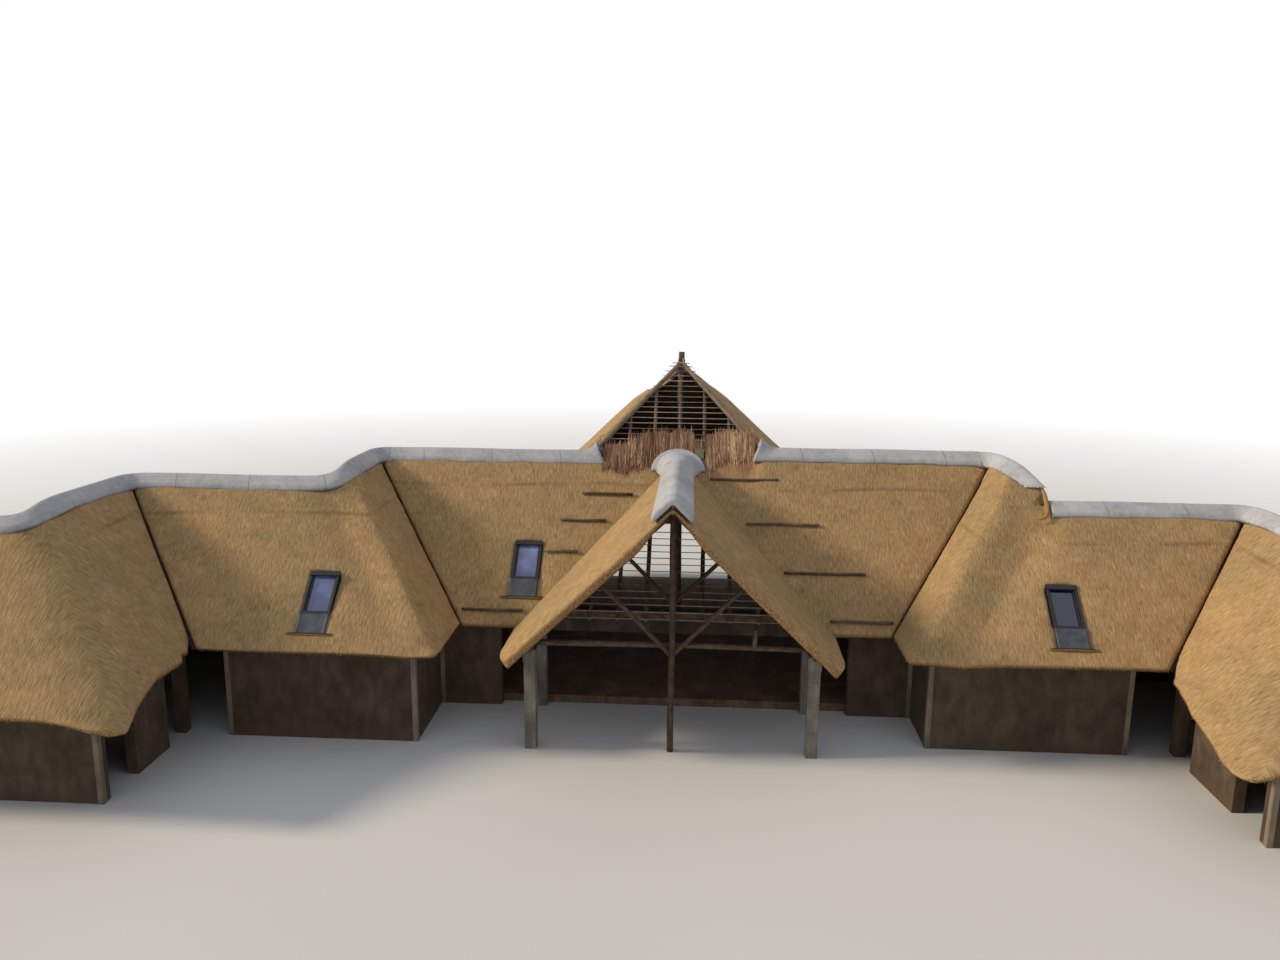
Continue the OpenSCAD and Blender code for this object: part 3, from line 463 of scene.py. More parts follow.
def thatch_material():
    s = Shader("thatch")
    uv = s.place(uv=True)
    u, v = s.axis("X", uv), s.axis("Y", uv)
    reeds = s.noise((76, 3.8, 1), 3.0, 0.6, uv=True)
    bundles = s.noise((17, 2.4, 1), uv=True)
    dashes = s.noise((34, 6.5, 1), 2.0, 0.5, uv=True)
    clouds = s.noise((0.5, 0.5, 0.7), 3.0, 0.6)
    patches = s.noise((2.4, 2.4, 2.8), 3.0, 0.6)
    body = s.total((reeds, 0.38), (bundles, 0.14), (dashes, 0.32), (patches, 0.16))
    straw = s.ramp(body, {0.34: (126, 97, 66), 0.45: (166, 133, 92), 0.53: (184, 150, 106),
                          0.64: (212, 179, 130)})
    dull = s.ramp(body, {0.34: (112, 92, 65), 0.47: (153, 129, 91), 0.62: (188, 163, 119)})
    colour = s.cover(straw, dull, s.spread(clouds, 0.4, 0.62, 0.1, 0.8))
    red = s.ramp(body, {0.34: (100, 70, 50), 0.5: (156, 114, 82), 0.64: (202, 160, 116)})
    colour = s.cover(colour, red, s.attribute("fresh"))
    # The stitched line fades in and out. Its darker colour is painted shade along the line, with a groove in
    # the bump beside it
    wave = s.math("MULTIPLY", s.math("SINE", s.math("MULTIPLY", u, 0.8)), 0.07)
    from_line = s.math("ABSOLUTE", s.math("SUBTRACT", s.math("SUBTRACT", v, wave), STITCH_DEPTH))
    shown = s.spread(s.noise((0.3, 0.05, 1), 2.0, uv=True), 0.45, 0.58)
    line = s.math("MULTIPLY", s.spread(from_line, 0.01, 0.085, 1.0, 0.0), shown)
    line = s.math("MULTIPLY", line, s.attribute("sewn"))
    colour = s.cover(colour, (104, 74, 46), line, 0.42)
    # Cut reed ends are darker, and the underside takes their colour too
    facing = s.axis("Z", s.node("NewGeometry").outputs["Normal"])
    ends = s.noise((42, 42, 42), 2.0, 0.5)
    cut_colour = s.ramp(ends, {0.35: (84, 58, 36), 0.5: (140, 104, 66), 0.66: (190, 152, 100)})
    colour = s.cover(colour, cut_colour, s.spread(facing, 0.28, -0.12), 0.8)
    # Painted shade: the underside, which faces down, is darkened; laths show on it
    under = s.spread(facing, -0.45, -0.6)
    row = s.math("PINGPONG", v, LATH_STEP / 2)
    lath = s.math("MULTIPLY", s.spread(row, 0.018, 0.024, 1.0, 0.0), under)
    colour = s.cover(colour, (60, 44, 31), under, 0.6)
    colour = s.cover(colour, (104, 88, 68), lath)
    height = s.total((reeds, 0.5), (bundles, 0.8), (dashes, 0.5), (line, -0.45))
    return s.finish(colour, 0.88, 0.15, (height, 0.022, 0.7))


def straw_material(name, dark, middle, light):
    """Loose straw: one tint a blade and streaks along it."""
    s = Shader(name)
    streak = s.noise((160, 6, 1), 2.0, uv=True)
    value = s.total((s.attribute("tint"), 0.75), (streak, 0.25))
    return s.finish(s.ramp(value, {0.1: dark, 0.5: middle, 0.9: light}), 0.8, 0.2, (streak, 0.004, 0.6))


def cap_material():
    s = Shader("ridge_mortar")
    clouds = s.noise((0.9, 0.9, 0.9), 4.0, 0.6)
    grain = s.noise((9, 9, 9), 4.0, 0.65)
    fine = s.noise((70, 70, 70), 2.0)
    body = s.total((clouds, 0.6), (grain, 0.4))
    colour = s.ramp(body, {0.32: (146, 148, 153), 0.48: (176, 178, 182), 0.64: (198, 198, 197)})
    colour = s.cover(colour, (140, 138, 134), s.spread(s.noise((6, 6, 0.8)), 0.58, 0.72), 0.25)
    # A joint shows between two lengths of mortar
    uv = s.place(uv=True)
    along = s.total((s.axis("Y", uv), 1.0), (s.axis("X", uv), 0.25), (grain, 0.03))
    from_joint = s.math("PINGPONG", s.math("ADD", along, 0.6), POUR_LENGTH / 2)
    joint = s.spread(from_joint, 0.006, 0.016, 1.0, 0.0)
    colour = s.cover(colour, (104, 104, 106), joint, 0.5)
    # Painted shade: the cap's under side, marked by its edge value, is darkened
    colour = s.cover(colour, (70, 64, 58), s.attribute("edge"), 0.8)
    height = s.total((grain, 0.6), (fine, 0.25), (joint, -0.6))
    return s.finish(colour, s.spread(grain, 0.3, 0.7, 0.62, 0.85), 0.3, (height, 0.012, 0.5))


def pole_material(name, dark, middle, light):
    s = Shader(name)
    grain = s.noise((70, 2.5, 1), 4.0, 0.6, uv=True)
    spots = s.noise((9, 5, 1), 3.0, 0.6, uv=True)
    tone = s.math("SUBTRACT", s.attribute("tint"), 0.5)
    body = s.total((grain, 0.5), (spots, 0.5), (tone, 0.35))
    colour = s.ramp(body, {0.32: dark, 0.5: middle, 0.68: light})
    crack = s.spread(s.noise((34, 0.9, 1), 2.0, uv=True), 0.36, 0.3)
    colour = s.cover(colour, (40, 30, 24), crack, 0.7)
    colour = s.cover(colour, (52, 38, 30), s.spots((5, 1.1, 1), 0.1, 0.05, uv=True), 0.75)
    return s.finish(colour, 0.78, 0.25, (s.total((grain, 1.0), (crack, -1.2)), 0.006, 0.7))


def concrete_material(name, dark, middle, light, boards=0.0):
    """Cast concrete, with the joints of form boards if their width is given."""
    s = Shader(name)
    clouds = s.noise((1.6, 1.6, 1.2), 5.0, 0.65)
    grit = s.noise((38, 38, 38), 3.0, 0.6)
    body = s.total((clouds, 0.5), (grit, 0.22), (s.noise((11, 11, 1.1)), 0.28))
    colour = s.ramp(body, {0.34: dark, 0.49: middle, 0.64: light})
    height = s.total((grit, 0.5), (clouds, 0.6))
    if boards:
        joint = s.spread(s.math("PINGPONG", s.axis("Z"), boards), 0.004, 0.012, 1.0, 0.0)
        colour = s.cover(colour, dark, joint, 0.35)
        height = s.total((height, 1.0), (joint, -0.6))
    colour = s.cover(colour, dark, s.spots((14, 14, 14), 0.11, 0.07), 0.6)
    return s.finish(colour, 0.9, 0.2, (height, 0.012, 0.7))


def wall_material():
    """Dark brown plaster, streaked, with splashed earth near the ground."""
    s = Shader("dark_plaster")
    trowel = s.noise((5, 5, 2.2), 4.0, 0.6)
    body = s.total((s.noise((0.9, 0.9, 0.9), 5.0, 0.6), 0.55), (trowel, 0.45))
    colour = s.ramp(body, {0.33: (66, 55, 46), 0.5: (86, 73, 61), 0.66: (106, 91, 77)})
    splash = s.spread(s.total((s.axis("Z"), 1.0), (trowel, 0.5)), 0.62, 0.22)
    colour = s.cover(colour, (104, 84, 66), splash, 0.45)
    height = s.total((trowel, 0.8), (s.noise((55, 55, 55), 2.0), 0.35))
    return s.finish(colour, 0.93, 0.15, (height, 0.014, 0.7))


def metal_material(name, dark, light, roughness):
    s = Shader(name)
    clouds = s.noise((3, 3, 3), 4.0, 0.6)
    dust = s.noise((26, 26, 26), 3.0, 0.6)
    colour = s.ramp(s.total((clouds, 0.6), (dust, 0.4)), {0.36: dark, 0.62: light})
    rough = s.spread(dust, 0.3, 0.7, roughness, roughness + 0.2)
    return s.finish(colour, rough, 0.4, (clouds, 0.01, 0.3), 0.25)


def glass_material():
    """A pane whose colour is a painted reflection of the evening sky, with a soft gradient and dust."""
    s = Shader("sky_glass")
    clouds = s.noise((2.6, 2.6, 2.6))
    rise = s.spread(s.axis("Z"), 3.2, 4.4, 0.2, 0.75)
    body = s.total((rise, 1.0), (s.math("SUBTRACT", clouds, 0.5), 0.7))
    colour = s.ramp(body, {0.2: (66, 78, 128), 0.5: (112, 126, 182), 0.8: (170, 178, 216)})
    # The right pane has a darker painted reflection of the sky
    colour = s.cover(colour, (18, 24, 62), s.spread(s.axis("X"), 4.0, 6.0))
    s.put(s.surface.inputs["Coat Weight"], 0.6)
    s.put(s.surface.inputs["Coat Roughness"], 0.05)
    return s.finish(colour, s.spread(clouds, 0.3, 0.7, 0.12, 0.28), 0.5)


THATCH_LOOK = thatch_material()
STRAW_LOOK = straw_material("loose_straw", (110, 80, 48), (172, 134, 84), (222, 188, 130))
NEW_STRAW_LOOK = straw_material("coarse_new_straw", (88, 62, 48), (172, 132, 102), (246, 212, 170))
CAP_LOOK = cap_material()
POLE_LOOK = pole_material("raw_pole", (58, 46, 38), (98, 80, 66), (146, 126, 106))
LATH_LOOK = pole_material("raw_lath", (122, 114, 106), (172, 164, 154), (206, 200, 190))
CONCRETE_LOOK = concrete_material("cast_concrete", (84, 80, 74), (118, 113, 105), (150, 145, 135), 0.3)
# Painted shade: the beams are cast concrete like the columns, coloured darker for the shade they lie in
BEAM_PAINTED_SHADE_LOOK = concrete_material("cast_beam_painted_shade", (48, 42, 37), (68, 60, 53), (94, 85, 76))
FLOOR_LOOK = concrete_material("rough_floor", (82, 64, 52), (112, 90, 74), (142, 118, 98))
WALL_LOOK = wall_material()
EDGE_LOOK = concrete_material("bare_corner", (92, 82, 70), (126, 114, 98), (156, 142, 124))
GUTTER_LOOK = metal_material("valley_sheet", (30, 22, 18), (52, 40, 32), 0.55)
FRAME_LOOK = metal_material("window_frame", (24, 24, 28), (42, 42, 48), 0.35)
APRON_LOOK = metal_material("lead_apron", (50, 55, 62), (84, 90, 98), 0.45)
FLASHING_LOOK = metal_material("old_flashing", (84, 84, 74), (120, 118, 102), 0.6)
GLASS_LOOK = glass_material()


def window_boxes(node):
    """For each roof window: x from and to, slope distance from and to, height from and to."""
    co = np.array([v.co for v in NODES[node].data.vertices])
    found = []
    for x0, x1 in ((-30, -6), (-6, 0), (0, 30)):
        c = co[(co[:, 0] > x0) & (co[:, 0] < x1)]
        found.append([end() for a in (c[:, 0], c @ DOWN_AXIS, c @ OUT_AXIS) for end in (a.min, a.max)])
    return found


APRONS = window_boxes("roof_window_aprons")


# Ridge lines, which the caps follow and the thatch stays under

LEFT_CROSS_X, RIGHT_CROSS_X = 8.25, 8.3
LEFT_CROSS_Y, RIGHT_CROSS_Y = -2.2, -1.62
LEFT_WING_Y, RIGHT_WING_Y = -2.5537, -2.2768
LEFT_TURN_X, RIGHT_TURN_X = 13.72, 13.65
LEFT_END_Y, RIGHT_END_Y = -5.8237, -5.8768
LEFT_FAR_X, RIGHT_FAR_X = 15.815, 15.962
LEFT_HIP_X, RIGHT_HIP_X = -LEFT_CROSS_X - 0.304, RIGHT_CROSS_X + 0.565
RIGHT_LIFT = 0.16
CROSS_LEAN = 0.3
# The right cross cap ends in a nearly level cut, which dips a little to the rear
CROSS_CAP_END = (8.6, -1.6, 5.61)
CUT_TILT = math.radians(11)
CAP_HALF, CAP_RISE, CAP_ROUND = 0.3, 0.0985, 0.075


def cap_height(s, slope):
    """Height of a cap's outer face over its ridge line, some metres to the side of it."""
    return CAP_RISE - slope * np.sqrt(s ** 2 + CAP_ROUND ** 2)


def rounded_line(corners, radius=0.55, step=0.07):
    """Points along a line of corners (x, y, z, slope) with its corners rounded off."""
    c = np.asarray(corners, float)
    points = [c[0]]
    for before, here, after in zip(c, c[1:], c[2:]):
        sides = (before - here, after - here)
        a, b = (here + side * min(radius / np.linalg.norm(side[:3]), 0.48) for side in sides)
        points += [(1 - t) ** 2 * a + 2 * t * (1 - t) * here + t * t * b for t in np.linspace(0, 1, 9)]
    points = np.array(points + [c[-1]])
    way = way_along(points[:, :3])
    even = np.linspace(0, way[-1], int(way[-1] / step) + 2)
    line = np.stack([np.interp(even, way, points[:, i]) for i in range(4)], 1)
    for _ in range(5):
        line[1:-1] = 0.25 * line[:-2] + 0.5 * line[1:-1] + 0.25 * line[2:]
    return line


def ridge_line(side, cross_x, cross_y, wing_y, wing_z, turn_x, end_y, far_x, lift=0.0, out=0.0):
    """Ridge of one half, from beside the hall to its far end. Near the hall it is lifted, and its
    cross part leans out."""
    wing_x = cross_x + (RIDGE_Z - wing_z) / CROSS_TAN + out
    low_x, low_y, low_z = turn_x + END_DROP / END_TAN, end_y - END_DROP / FRONT_TAN, wing_z - END_DROP
    top = RIDGE_Z + lift
    corners = [(1.97, 0, top, 1.0), (cross_x, 0, top, 1.05),
               (cross_x + out * 0.6, cross_y, top - out * 0.2, 1.15), (wing_x, wing_y, wing_z, 1.0),
               (turn_x, wing_y, wing_z, 1.0), (turn_x, end_y, wing_z, 1.02), (low_x, low_y, low_z, 1.0),
               (far_x, low_y, low_z, 1.0), (far_x + 0.25, low_y, low_z - 0.16, 1.0)]
    return rounded_line([(side * x, RIDGE_Y + y, z, k) for x, y, z, k in corners])


LEFT_LINE = ridge_line(-1, LEFT_CROSS_X, LEFT_CROSS_Y, LEFT_WING_Y, LEFT_RIDGE_Z, LEFT_TURN_X, LEFT_END_Y,
                       LEFT_FAR_X)
RIGHT_LINE = ridge_line(1, RIGHT_CROSS_X, RIGHT_CROSS_Y, RIGHT_WING_Y, RIGHT_RIDGE_Z, RIGHT_TURN_X,
                        RIGHT_END_Y, RIGHT_FAR_X, RIGHT_LIFT, CROSS_LEAN)
# Places where one cap ends and the next one starts
LEFT_JOINT_X, RIGHT_JOINT_X, RUN_START_X, CROSS_PAST = -7.75, 7.8, 8.94, 0.45
left_joint = np.argmax(LEFT_LINE[:, 0] < LEFT_JOINT_X)
right_joint = np.argmax(RIGHT_LINE[:, 0] > RIGHT_JOINT_X)
cross_end = np.argmax(RIGHT_LINE[:, 1] < RIDGE_Y + RIGHT_CROSS_Y - CROSS_PAST)
run_start = np.argmax(RIGHT_LINE[:, 0] > RUN_START_X)
LEFT_CENTRE_PATH, LEFT_RUN_PATH = LEFT_LINE[:left_joint + 3], LEFT_LINE[left_joint:]
RIGHT_CENTRE_PATH = RIGHT_LINE[:right_joint + 3]
RIGHT_CROSS_PATH = RIGHT_LINE[right_joint:cross_end + 1]
RIGHT_HIP_PATH = RIGHT_LINE[right_joint:run_start + 1]
RIGHT_RUN_PATH = RIGHT_LINE[run_start:].copy()
# The wing's cap starts straight, behind the end of the cross part
RIGHT_RUN_PATH[RIGHT_RUN_PATH[:, 0] < 10.5, 1:3] = RIDGE_Y + RIGHT_WING_Y, RIGHT_RIDGE_Z


# Thatch

# Height of the thatch's lumps, and how far it stays under the caps and beside their lines
LUMP = 0.012
UNDER_CAP, CAP_REACH = 0.075, 0.6
# How far back and up an uneven eave pulls the thatch along, and its fall for each metre out
EAVE_REACH, EAVE_TOP, EAVE_FALL = 0.9, 3.4, 0.95
# Thatch that isn't raised with the right half's ridge
NOT_LIFTED = {"thatch_right_end", "thatch_hall_sides_and_rear"}
# The open front of the hall: height at which its thatch solid stops, and the ragged line
OPEN_TOP, OPEN_HALF = 6.48, 2.06
RAGGED_X = [-2.1, -1.86, -1.35, -1.28, -0.95, -0.55, 0.0, 0.34, 0.44, 0.66, 0.76, 1.2, 1.65, 2.1]
RAGGED_Z = [6.02, 6.10, 6.12, 6.26, 6.42, 6.46, 6.46, 6.42, 6.24, 6.20, 6.40, 6.45, 6.48, 6.46]
# Front hips: tangent of the slope beside the hip, x of its ridge, side it faces, y of the front
# ridge from the centre's, its z, height of the eaves, reach of the rounding, share of it at the
# eaves and radius of the eaves corner in plan
HIPS = {
    "thatch_left_end": (END_TAN, -LEFT_TURN_X, 1, LEFT_END_Y, LEFT_RIDGE_Z, 2.2, 1.4, 0.4, 0.4),
    "thatch_right_end": (END_TAN, RIGHT_TURN_X, -1, RIGHT_END_Y, RIGHT_RIDGE_Z, 2.05, 1.4, 0.4, 0.4),
    "thatch_left_wing": (CROSS_TAN, LEFT_HIP_X, 1, LEFT_WING_Y, LEFT_RIDGE_Z, 2.38, 1.4, 0.15, 0.3),
    "thatch_right_wing": (CROSS_TAN, RIGHT_HIP_X, -1, RIGHT_WING_Y, RIGHT_RIDGE_Z, 2.34, 1.5, 0.15, 0.3),
}
# Uneven eaves of the ends: distances from the front corner along the inner eave and how far it
# runs out there, then the same for the front eave
EAVES = {
    "thatch_left_end": ([0.0, 0.25, 0.9, 1.9, 2.9, 3.05, 3.4, 3.7],
                        [0.0, 0.18, 0.02, -0.14, -0.12, -0.24, -0.16, 0.0],
                        [-4.2, -2.6, -1.8, -1.2, -0.5, 0.0],
                        [-0.1, -0.03, -0.02, 0.0, 0.05, 0.0]),
    "thatch_right_end": ([0.0, 0.5, 1.5, 2.4, 2.8, 3.1, 3.3, 3.7, 3.9, 4.15],
                         [0.1, 0.26, 0.12, 0.02, -0.07, -0.11, -0.15, -0.18, -0.1, 0.0],
                         [0.0, 0.5, 1.5, 2.6, 4.5, 6.0],
                         [0.0, 0.0, -0.06, -0.14, -0.05, -0.12]),
}


def under_caps(co):
    """Keeps the thatch just under the ridge caps."""
    co = co.copy()
    for line in (LEFT_CENTRE_PATH, LEFT_RUN_PATH, RIGHT_CENTRE_PATH, RIGHT_HIP_PATH, RIGHT_RUN_PATH):
        low, high = line[:, :3].min(0) - CAP_REACH, line[:, :3].max(0) + CAP_REACH
        near = np.nonzero(((co > low) & (co < high)).all(1))[0]
        for part in np.array_split(near, max(1, len(near) // 4000)):
            gap = np.linalg.norm(co[part][:, None, :2] - line[None, :, :2], axis=2)
            nearest, s = gap.argmin(1), gap.min(1)
            limit = line[nearest, 2] + cap_height(s, line[nearest, 3]) - UNDER_CAP
            limit += 1.7 * np.maximum(s - CAP_HALF + 0.03, 0)
            at_end = (nearest == 0) | (nearest == len(line) - 1)
            inside = s < np.where(at_end, 0.2, CAP_REACH)
            co[part[inside], 2] = np.minimum(co[part[inside], 2], limit[inside])
    return co


def under_aprons(co):
    """Sinks the thatch a little under the metal aprons of the roof windows."""
    for x0, x1, s0, s1, h0, h1 in APRONS:
        s, h = co @ DOWN_AXIS, co @ OUT_AXIS
        inside = (co[:, 0] > x0 - 0.02) & (co[:, 0] < x1 + 0.02) & (s > s0 - 0.1) & (s < s1 - 0.02)
        sink = np.where(inside, np.maximum(h - (h0 - 0.05), 0), 0)
        co = co - sink[:, None] * OUT_AXIS
    return co


def right_lift(co):
    """Raises the thatch under the right half's ridge and lets the cross part's slope lean out."""
    near = smooth_step(co[:, 0], 1.9, 2.3) * (1 - smooth_step(co[:, 0], 8.9, 9.5))
    co = moved(co, z=RIGHT_LIFT * near * smooth_step(co[:, 2], RIDGE_Z - 1.1, RIDGE_Z))
    leaning = smooth_step(co[:, 0], 8.2, 8.5) * (1 - smooth_step(co[:, 0], 9.0, 9.6))
    leaning *= smooth_step(co[:, 2], 5.15, 5.6) * (1 - smooth_step(co[:, 1], -0.6, -0.2))
    return moved(co, x=CROSS_LEAN * leaning)


def slope_uv(co, quads, ridge_z):
    """UV in metres: u along the eaves, v down the slope from the ridge."""
    n = np.abs(unit(crossed(co, quads)))
    x, y, z = np.moveaxis(co[quads], 2, 0)
    along = np.where((n[:, 1] >= n[:, 0])[:, None], x, y)
    return np.stack([along, (ridge_z - z) / math.sin(FRONT_PITCH)], -1)


def round_hip(co, node):
    """Rounds the hip between the front slope and a slope that faces to one side, by lowering the
    thatch over some metres to both sides of it. Less of that is left at the eaves."""
    tangent, place_x, side, ridge_y, ridge_z, eave_z, reach, at_eave, _ = HIPS[node]
    a = ridge_z - tangent * (co[:, 0] - place_x) * side
    b = ridge_z + FRONT_TAN * (co[:, 1] - (RIDGE_Y + ridge_y))
    low = np.minimum(a, b)
    drop = np.maximum(reach - np.abs(a - b), 0) ** 2 / (4 * reach)
    drop *= smooth_step(ridge_z - low, -0.1, 0.7)
    drop *= at_eave + (1 - at_eave) * smooth_step(low - eave_z, 0.0, 1.2)
    return moved(co, z=-drop)


def round_corner(co, x, y, side, radius):
    """Rounds the plan of an eaves corner that points to one side and to -Y."""
    u = (co[:, 0] - x) * side + radius
    v = (y - co[:, 1]) + radius
    r = np.hypot(u, v)
    out = (u > 0) & (v > 0) & (r > radius) & (u < radius * 1.6) & (v < radius * 1.6)
    k = radius / np.maximum(r, 1e-9)
    rounded = np.stack([x + side * (u * k - radius), y - (v * k - radius), co[:, 2]], 1)
    return np.where(out[:, None], rounded, co)


def wavy_eave(co, axis, side, eave, at, out):
    """Lets an eave run out or in: axis 0 or 1 is the way it faces, with its side. At the given
    places along the other axis it goes out by the given metres."""
    near = 1 - smooth_step((eave - co[:, axis]) * side, 0.0, EAVE_REACH)
    run = np.interp(co[:, 1 - axis], at, out) * near * (co[:, 2] < EAVE_TOP)
    co = co.copy()
    co[:, axis] += side * run
    return moved(co, z=-run * EAVE_FALL)


def hipped_shape(co, node):
    """Rounds the front corner of a wing or an end, and makes the end's eaves uneven."""
    low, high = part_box(node)
    side, radius = HIPS[node][2], HIPS[node][-1]
    x, y = (high.x if side > 0 else low.x), low.y
    co = round_corner(co, x, y, side, radius)
    if node in EAVES:
        inner_at, inner_out, front_at, front_out = EAVES[node]
        co = wavy_eave(co, 0, side, x, y + np.array(inner_at), inner_out)
        co = wavy_eave(co, 1, -1, y, x + np.array(front_at), front_out)
    return co


def centre_shape(co):
    """Draws the upper border of the hall's front thatch down to the ragged line."""
    reach = 0.7
    ragged = np.interp(co[:, 0], RAGGED_X, RAGGED_Z) - 0.12
    drop = np.clip((co[:, 2] - (OPEN_TOP - reach)) / reach, 0, 1) * (OPEN_TOP - ragged)
    lowered = moved(co, y=-drop / FRONT_TAN, z=-drop)
    return np.where((np.abs(co[:, 0]) < OPEN_HALF)[:, None], lowered, co)


def centre_fresh(co):
    """The newest thatch is redder. It lies at the top of the hall's front slope."""
    across = 1 - smooth_step(np.abs(co[:, 0]) + 0.12 * value_noise(co, 0.4, 8), 1.85, 2.1)
    return across * smooth_step(co[:, 2] + 0.25 * value_noise(co * [1, 0.2, 0.2], 0.25, 9), 5.35, 5.8)


def porch_shape(co):
    """The verge is rolled over and its lower tips are narrow and round."""
    low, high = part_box("thatch_porch")
    over = co[:, 2] - (PORCH_RIDGE_Z - np.abs(co[:, 0]) * math.tan(PORCH_PITCH)
                       - 0.5 * THATCH / math.cos(PORCH_PITCH))
    behind = co[:, 1] - low.y
    roll = 0.15 * np.clip(1 - behind / 0.6, 0, 1) ** 2 * smooth_step(over, -0.02, 0.14)
    plump = 0.14 * np.clip(1 - behind / 0.62, 0, 1) * smooth_step(-over, -0.02, 0.1)
    plump *= smooth_step(np.abs(co[:, 0]), 0.1, 0.9)
    inward = -(roll + plump)
    co = moved(co, x=inward * np.sign(co[:, 0]) * 0.69, z=inward * 0.72)
    for side in (-1, 1):
        co = round_corner(co, side * high.x, low.y, side, 0.45)
    return co


def hall_shape(co):
    """The left side's thatch stops lower than the right side's and the rear's. All of it thins
    out upwards."""
    left = smooth_step(-co[:, 0] - np.abs(co[:, 1] - PEAK.y) + 0.35, 0.0, 0.25)
    t = np.clip((co[:, 2] - 6.8) / 1.25, 0, 1)
    drop = left * t * (0.54 + 0.1 * value_noise(co, 0.3, 21))
    co = moved(co, x=-drop / FRONT_TAN, z=-drop)
    reach = np.maximum(np.abs(co[:, 0]), np.abs(co[:, 1] - PEAK.y))
    above = co[:, 2] - (PEAK.z - reach * FRONT_TAN - THATCH / math.cos(FRONT_PITCH))
    return moved(co, z=-np.maximum(above, 0) * 0.5 * smooth_step(co[:, 2], 7.0, 8.0))


def thatch_piece(name, nodes, ridge_z, voxel=0.07, crease_steps=56, edge_steps=5, open_x=None, first=None,
                 shape=None, fresh=None, sewn=1.0):
    """Thatch solids as one piece with soft hips, rounded eaves and an uneven surface. Inner faces
    at open_x to both sides are taken out first."""
    bm = welded_solids(nodes)
    if open_x:
        inner = [f for f in bm.faces if all(abs(abs(v.co.x) - open_x) < 1e-3 for v in f.verts)]
        bmesh.ops.delete(bm, geom=inner, context="FACES_ONLY")
    co, quads = even_mesh(bm, voxel)
    if first:
        co = first(co)
    edges = edge_list(quads)
    top = vertex_normals(co, quads)[:, 2] > 0.5
    co = relax(soften_creases(co, quads, edges, top, crease_steps), edges, edge_steps)
    if not NOT_LIFTED & set(nodes):
        co = right_lift(co)
    co = under_aprons(under_caps(co))
    if shape:
        co = shape(co)
    lumps = value_noise(co, 1.3, 3) * LUMP + value_noise(co, 0.42, 5) * LUMP * 0.6
    co = inside_box(co + vertex_normals(co, quads) * lumps[:, None], nodes, RIGHT_LIFT)
    values = {"fresh": fresh(co) if fresh else np.zeros(len(co)), "sewn": np.full(len(co), sewn)}
    add_piece(name, co, quads, THATCH_LOOK, nodes, slope_uv(co, quads, ridge_z), values=values)
    return co, quads


def hipped_piece(name, node):
    return thatch_piece(name, [node], HIPS[node][4], first=lambda co: round_hip(co, node),
                        shape=lambda co: hipped_shape(co, node))


centre = thatch_piece(
    "centre_front_thatch", ["thatch_hall_front", "thatch_centre_front_left", "thatch_centre_front_right"],
    RIDGE_Z, voxel=0.066, open_x=HALL_FRONT_HALF, shape=centre_shape, fresh=centre_fresh)
hipped = [hipped_piece("left_end_thatch", "thatch_left_end"),
          hipped_piece("right_end_thatch", "thatch_right_end"),
          hipped_piece("left_wing_thatch", "thatch_left_wing"),
          hipped_piece("right_wing_thatch", "thatch_right_wing")]
thatch_piece("porch_roof_thatch", ["thatch_porch"], PORCH_RIDGE_Z, voxel=0.05, crease_steps=20,
             edge_steps=20, first=porch_shape, sewn=0.0)
centre_rear = thatch_piece("centre_rear_roof_thatch", ["thatch_centre_rear"], RIDGE_Z, voxel=0.08,
                           crease_steps=5)
hall = thatch_piece("hall_roof_thatch", ["thatch_hall_sides_and_rear"], PEAK.z, voxel=0.085, crease_steps=32,
                    shape=hall_shape, sewn=0.0)


# Loose straw along borders

STRAW_SPACING = 0.078


def eave_straw(parts, co, quads):
    """Short stubble on the trimmed eaves, pointing down the slope, about one blade for each
    spacing squared."""
    n = crossed(co, quads)
    area = 0.5 * np.linalg.norm(n, axis=1)
    n = unit(n)
    flat = np.hypot(n[:, 0], n[:, 1])
    cut = (flat > 0.45) & (n[:, 2] < 0.1) & (n[:, 2] > -0.85) & (co[quads].mean(1)[:, 2] < 3.2)
    index = np.repeat(np.nonzero(cut)[0], RANDOM.poisson(area[cut] / STRAW_SPACING ** 2))
    a, b = RANDOM.random((len(index), 1)), RANDOM.random((len(index), 1))
    c = co[quads[index]]
    points = (c[:, 0] * ((1 - a) * (1 - b)) + c[:, 1] * (a * (1 - b))
              + c[:, 2] * (a * b) + c[:, 3] * ((1 - a) * b))
    n = n[index]
    ways = unit(n * [1, 1, 0]) * 0.7 + np.array([0, 0, -0.7]) + RANDOM.normal(0, 0.12, (len(points), 3))
    ways = unit(ways)
    lengths = RANDOM.uniform(0.05, 0.09, len(points))
    roots = points - ways * 0.045
    tips = roots + ways * lengths[:, None]
    fits = ((tips > np.array(cad_low) + 0.01) & (tips < np.array(cad_high) - 0.01)).all(1)
    count = fits.sum()
    parts.blades(roots[fits], ways[fits], n[fits], lengths[fits], RANDOM.uniform(0.008, 0.015, count),
                 RANDOM.normal(0, 0.006, count), RANDOM.random(count))


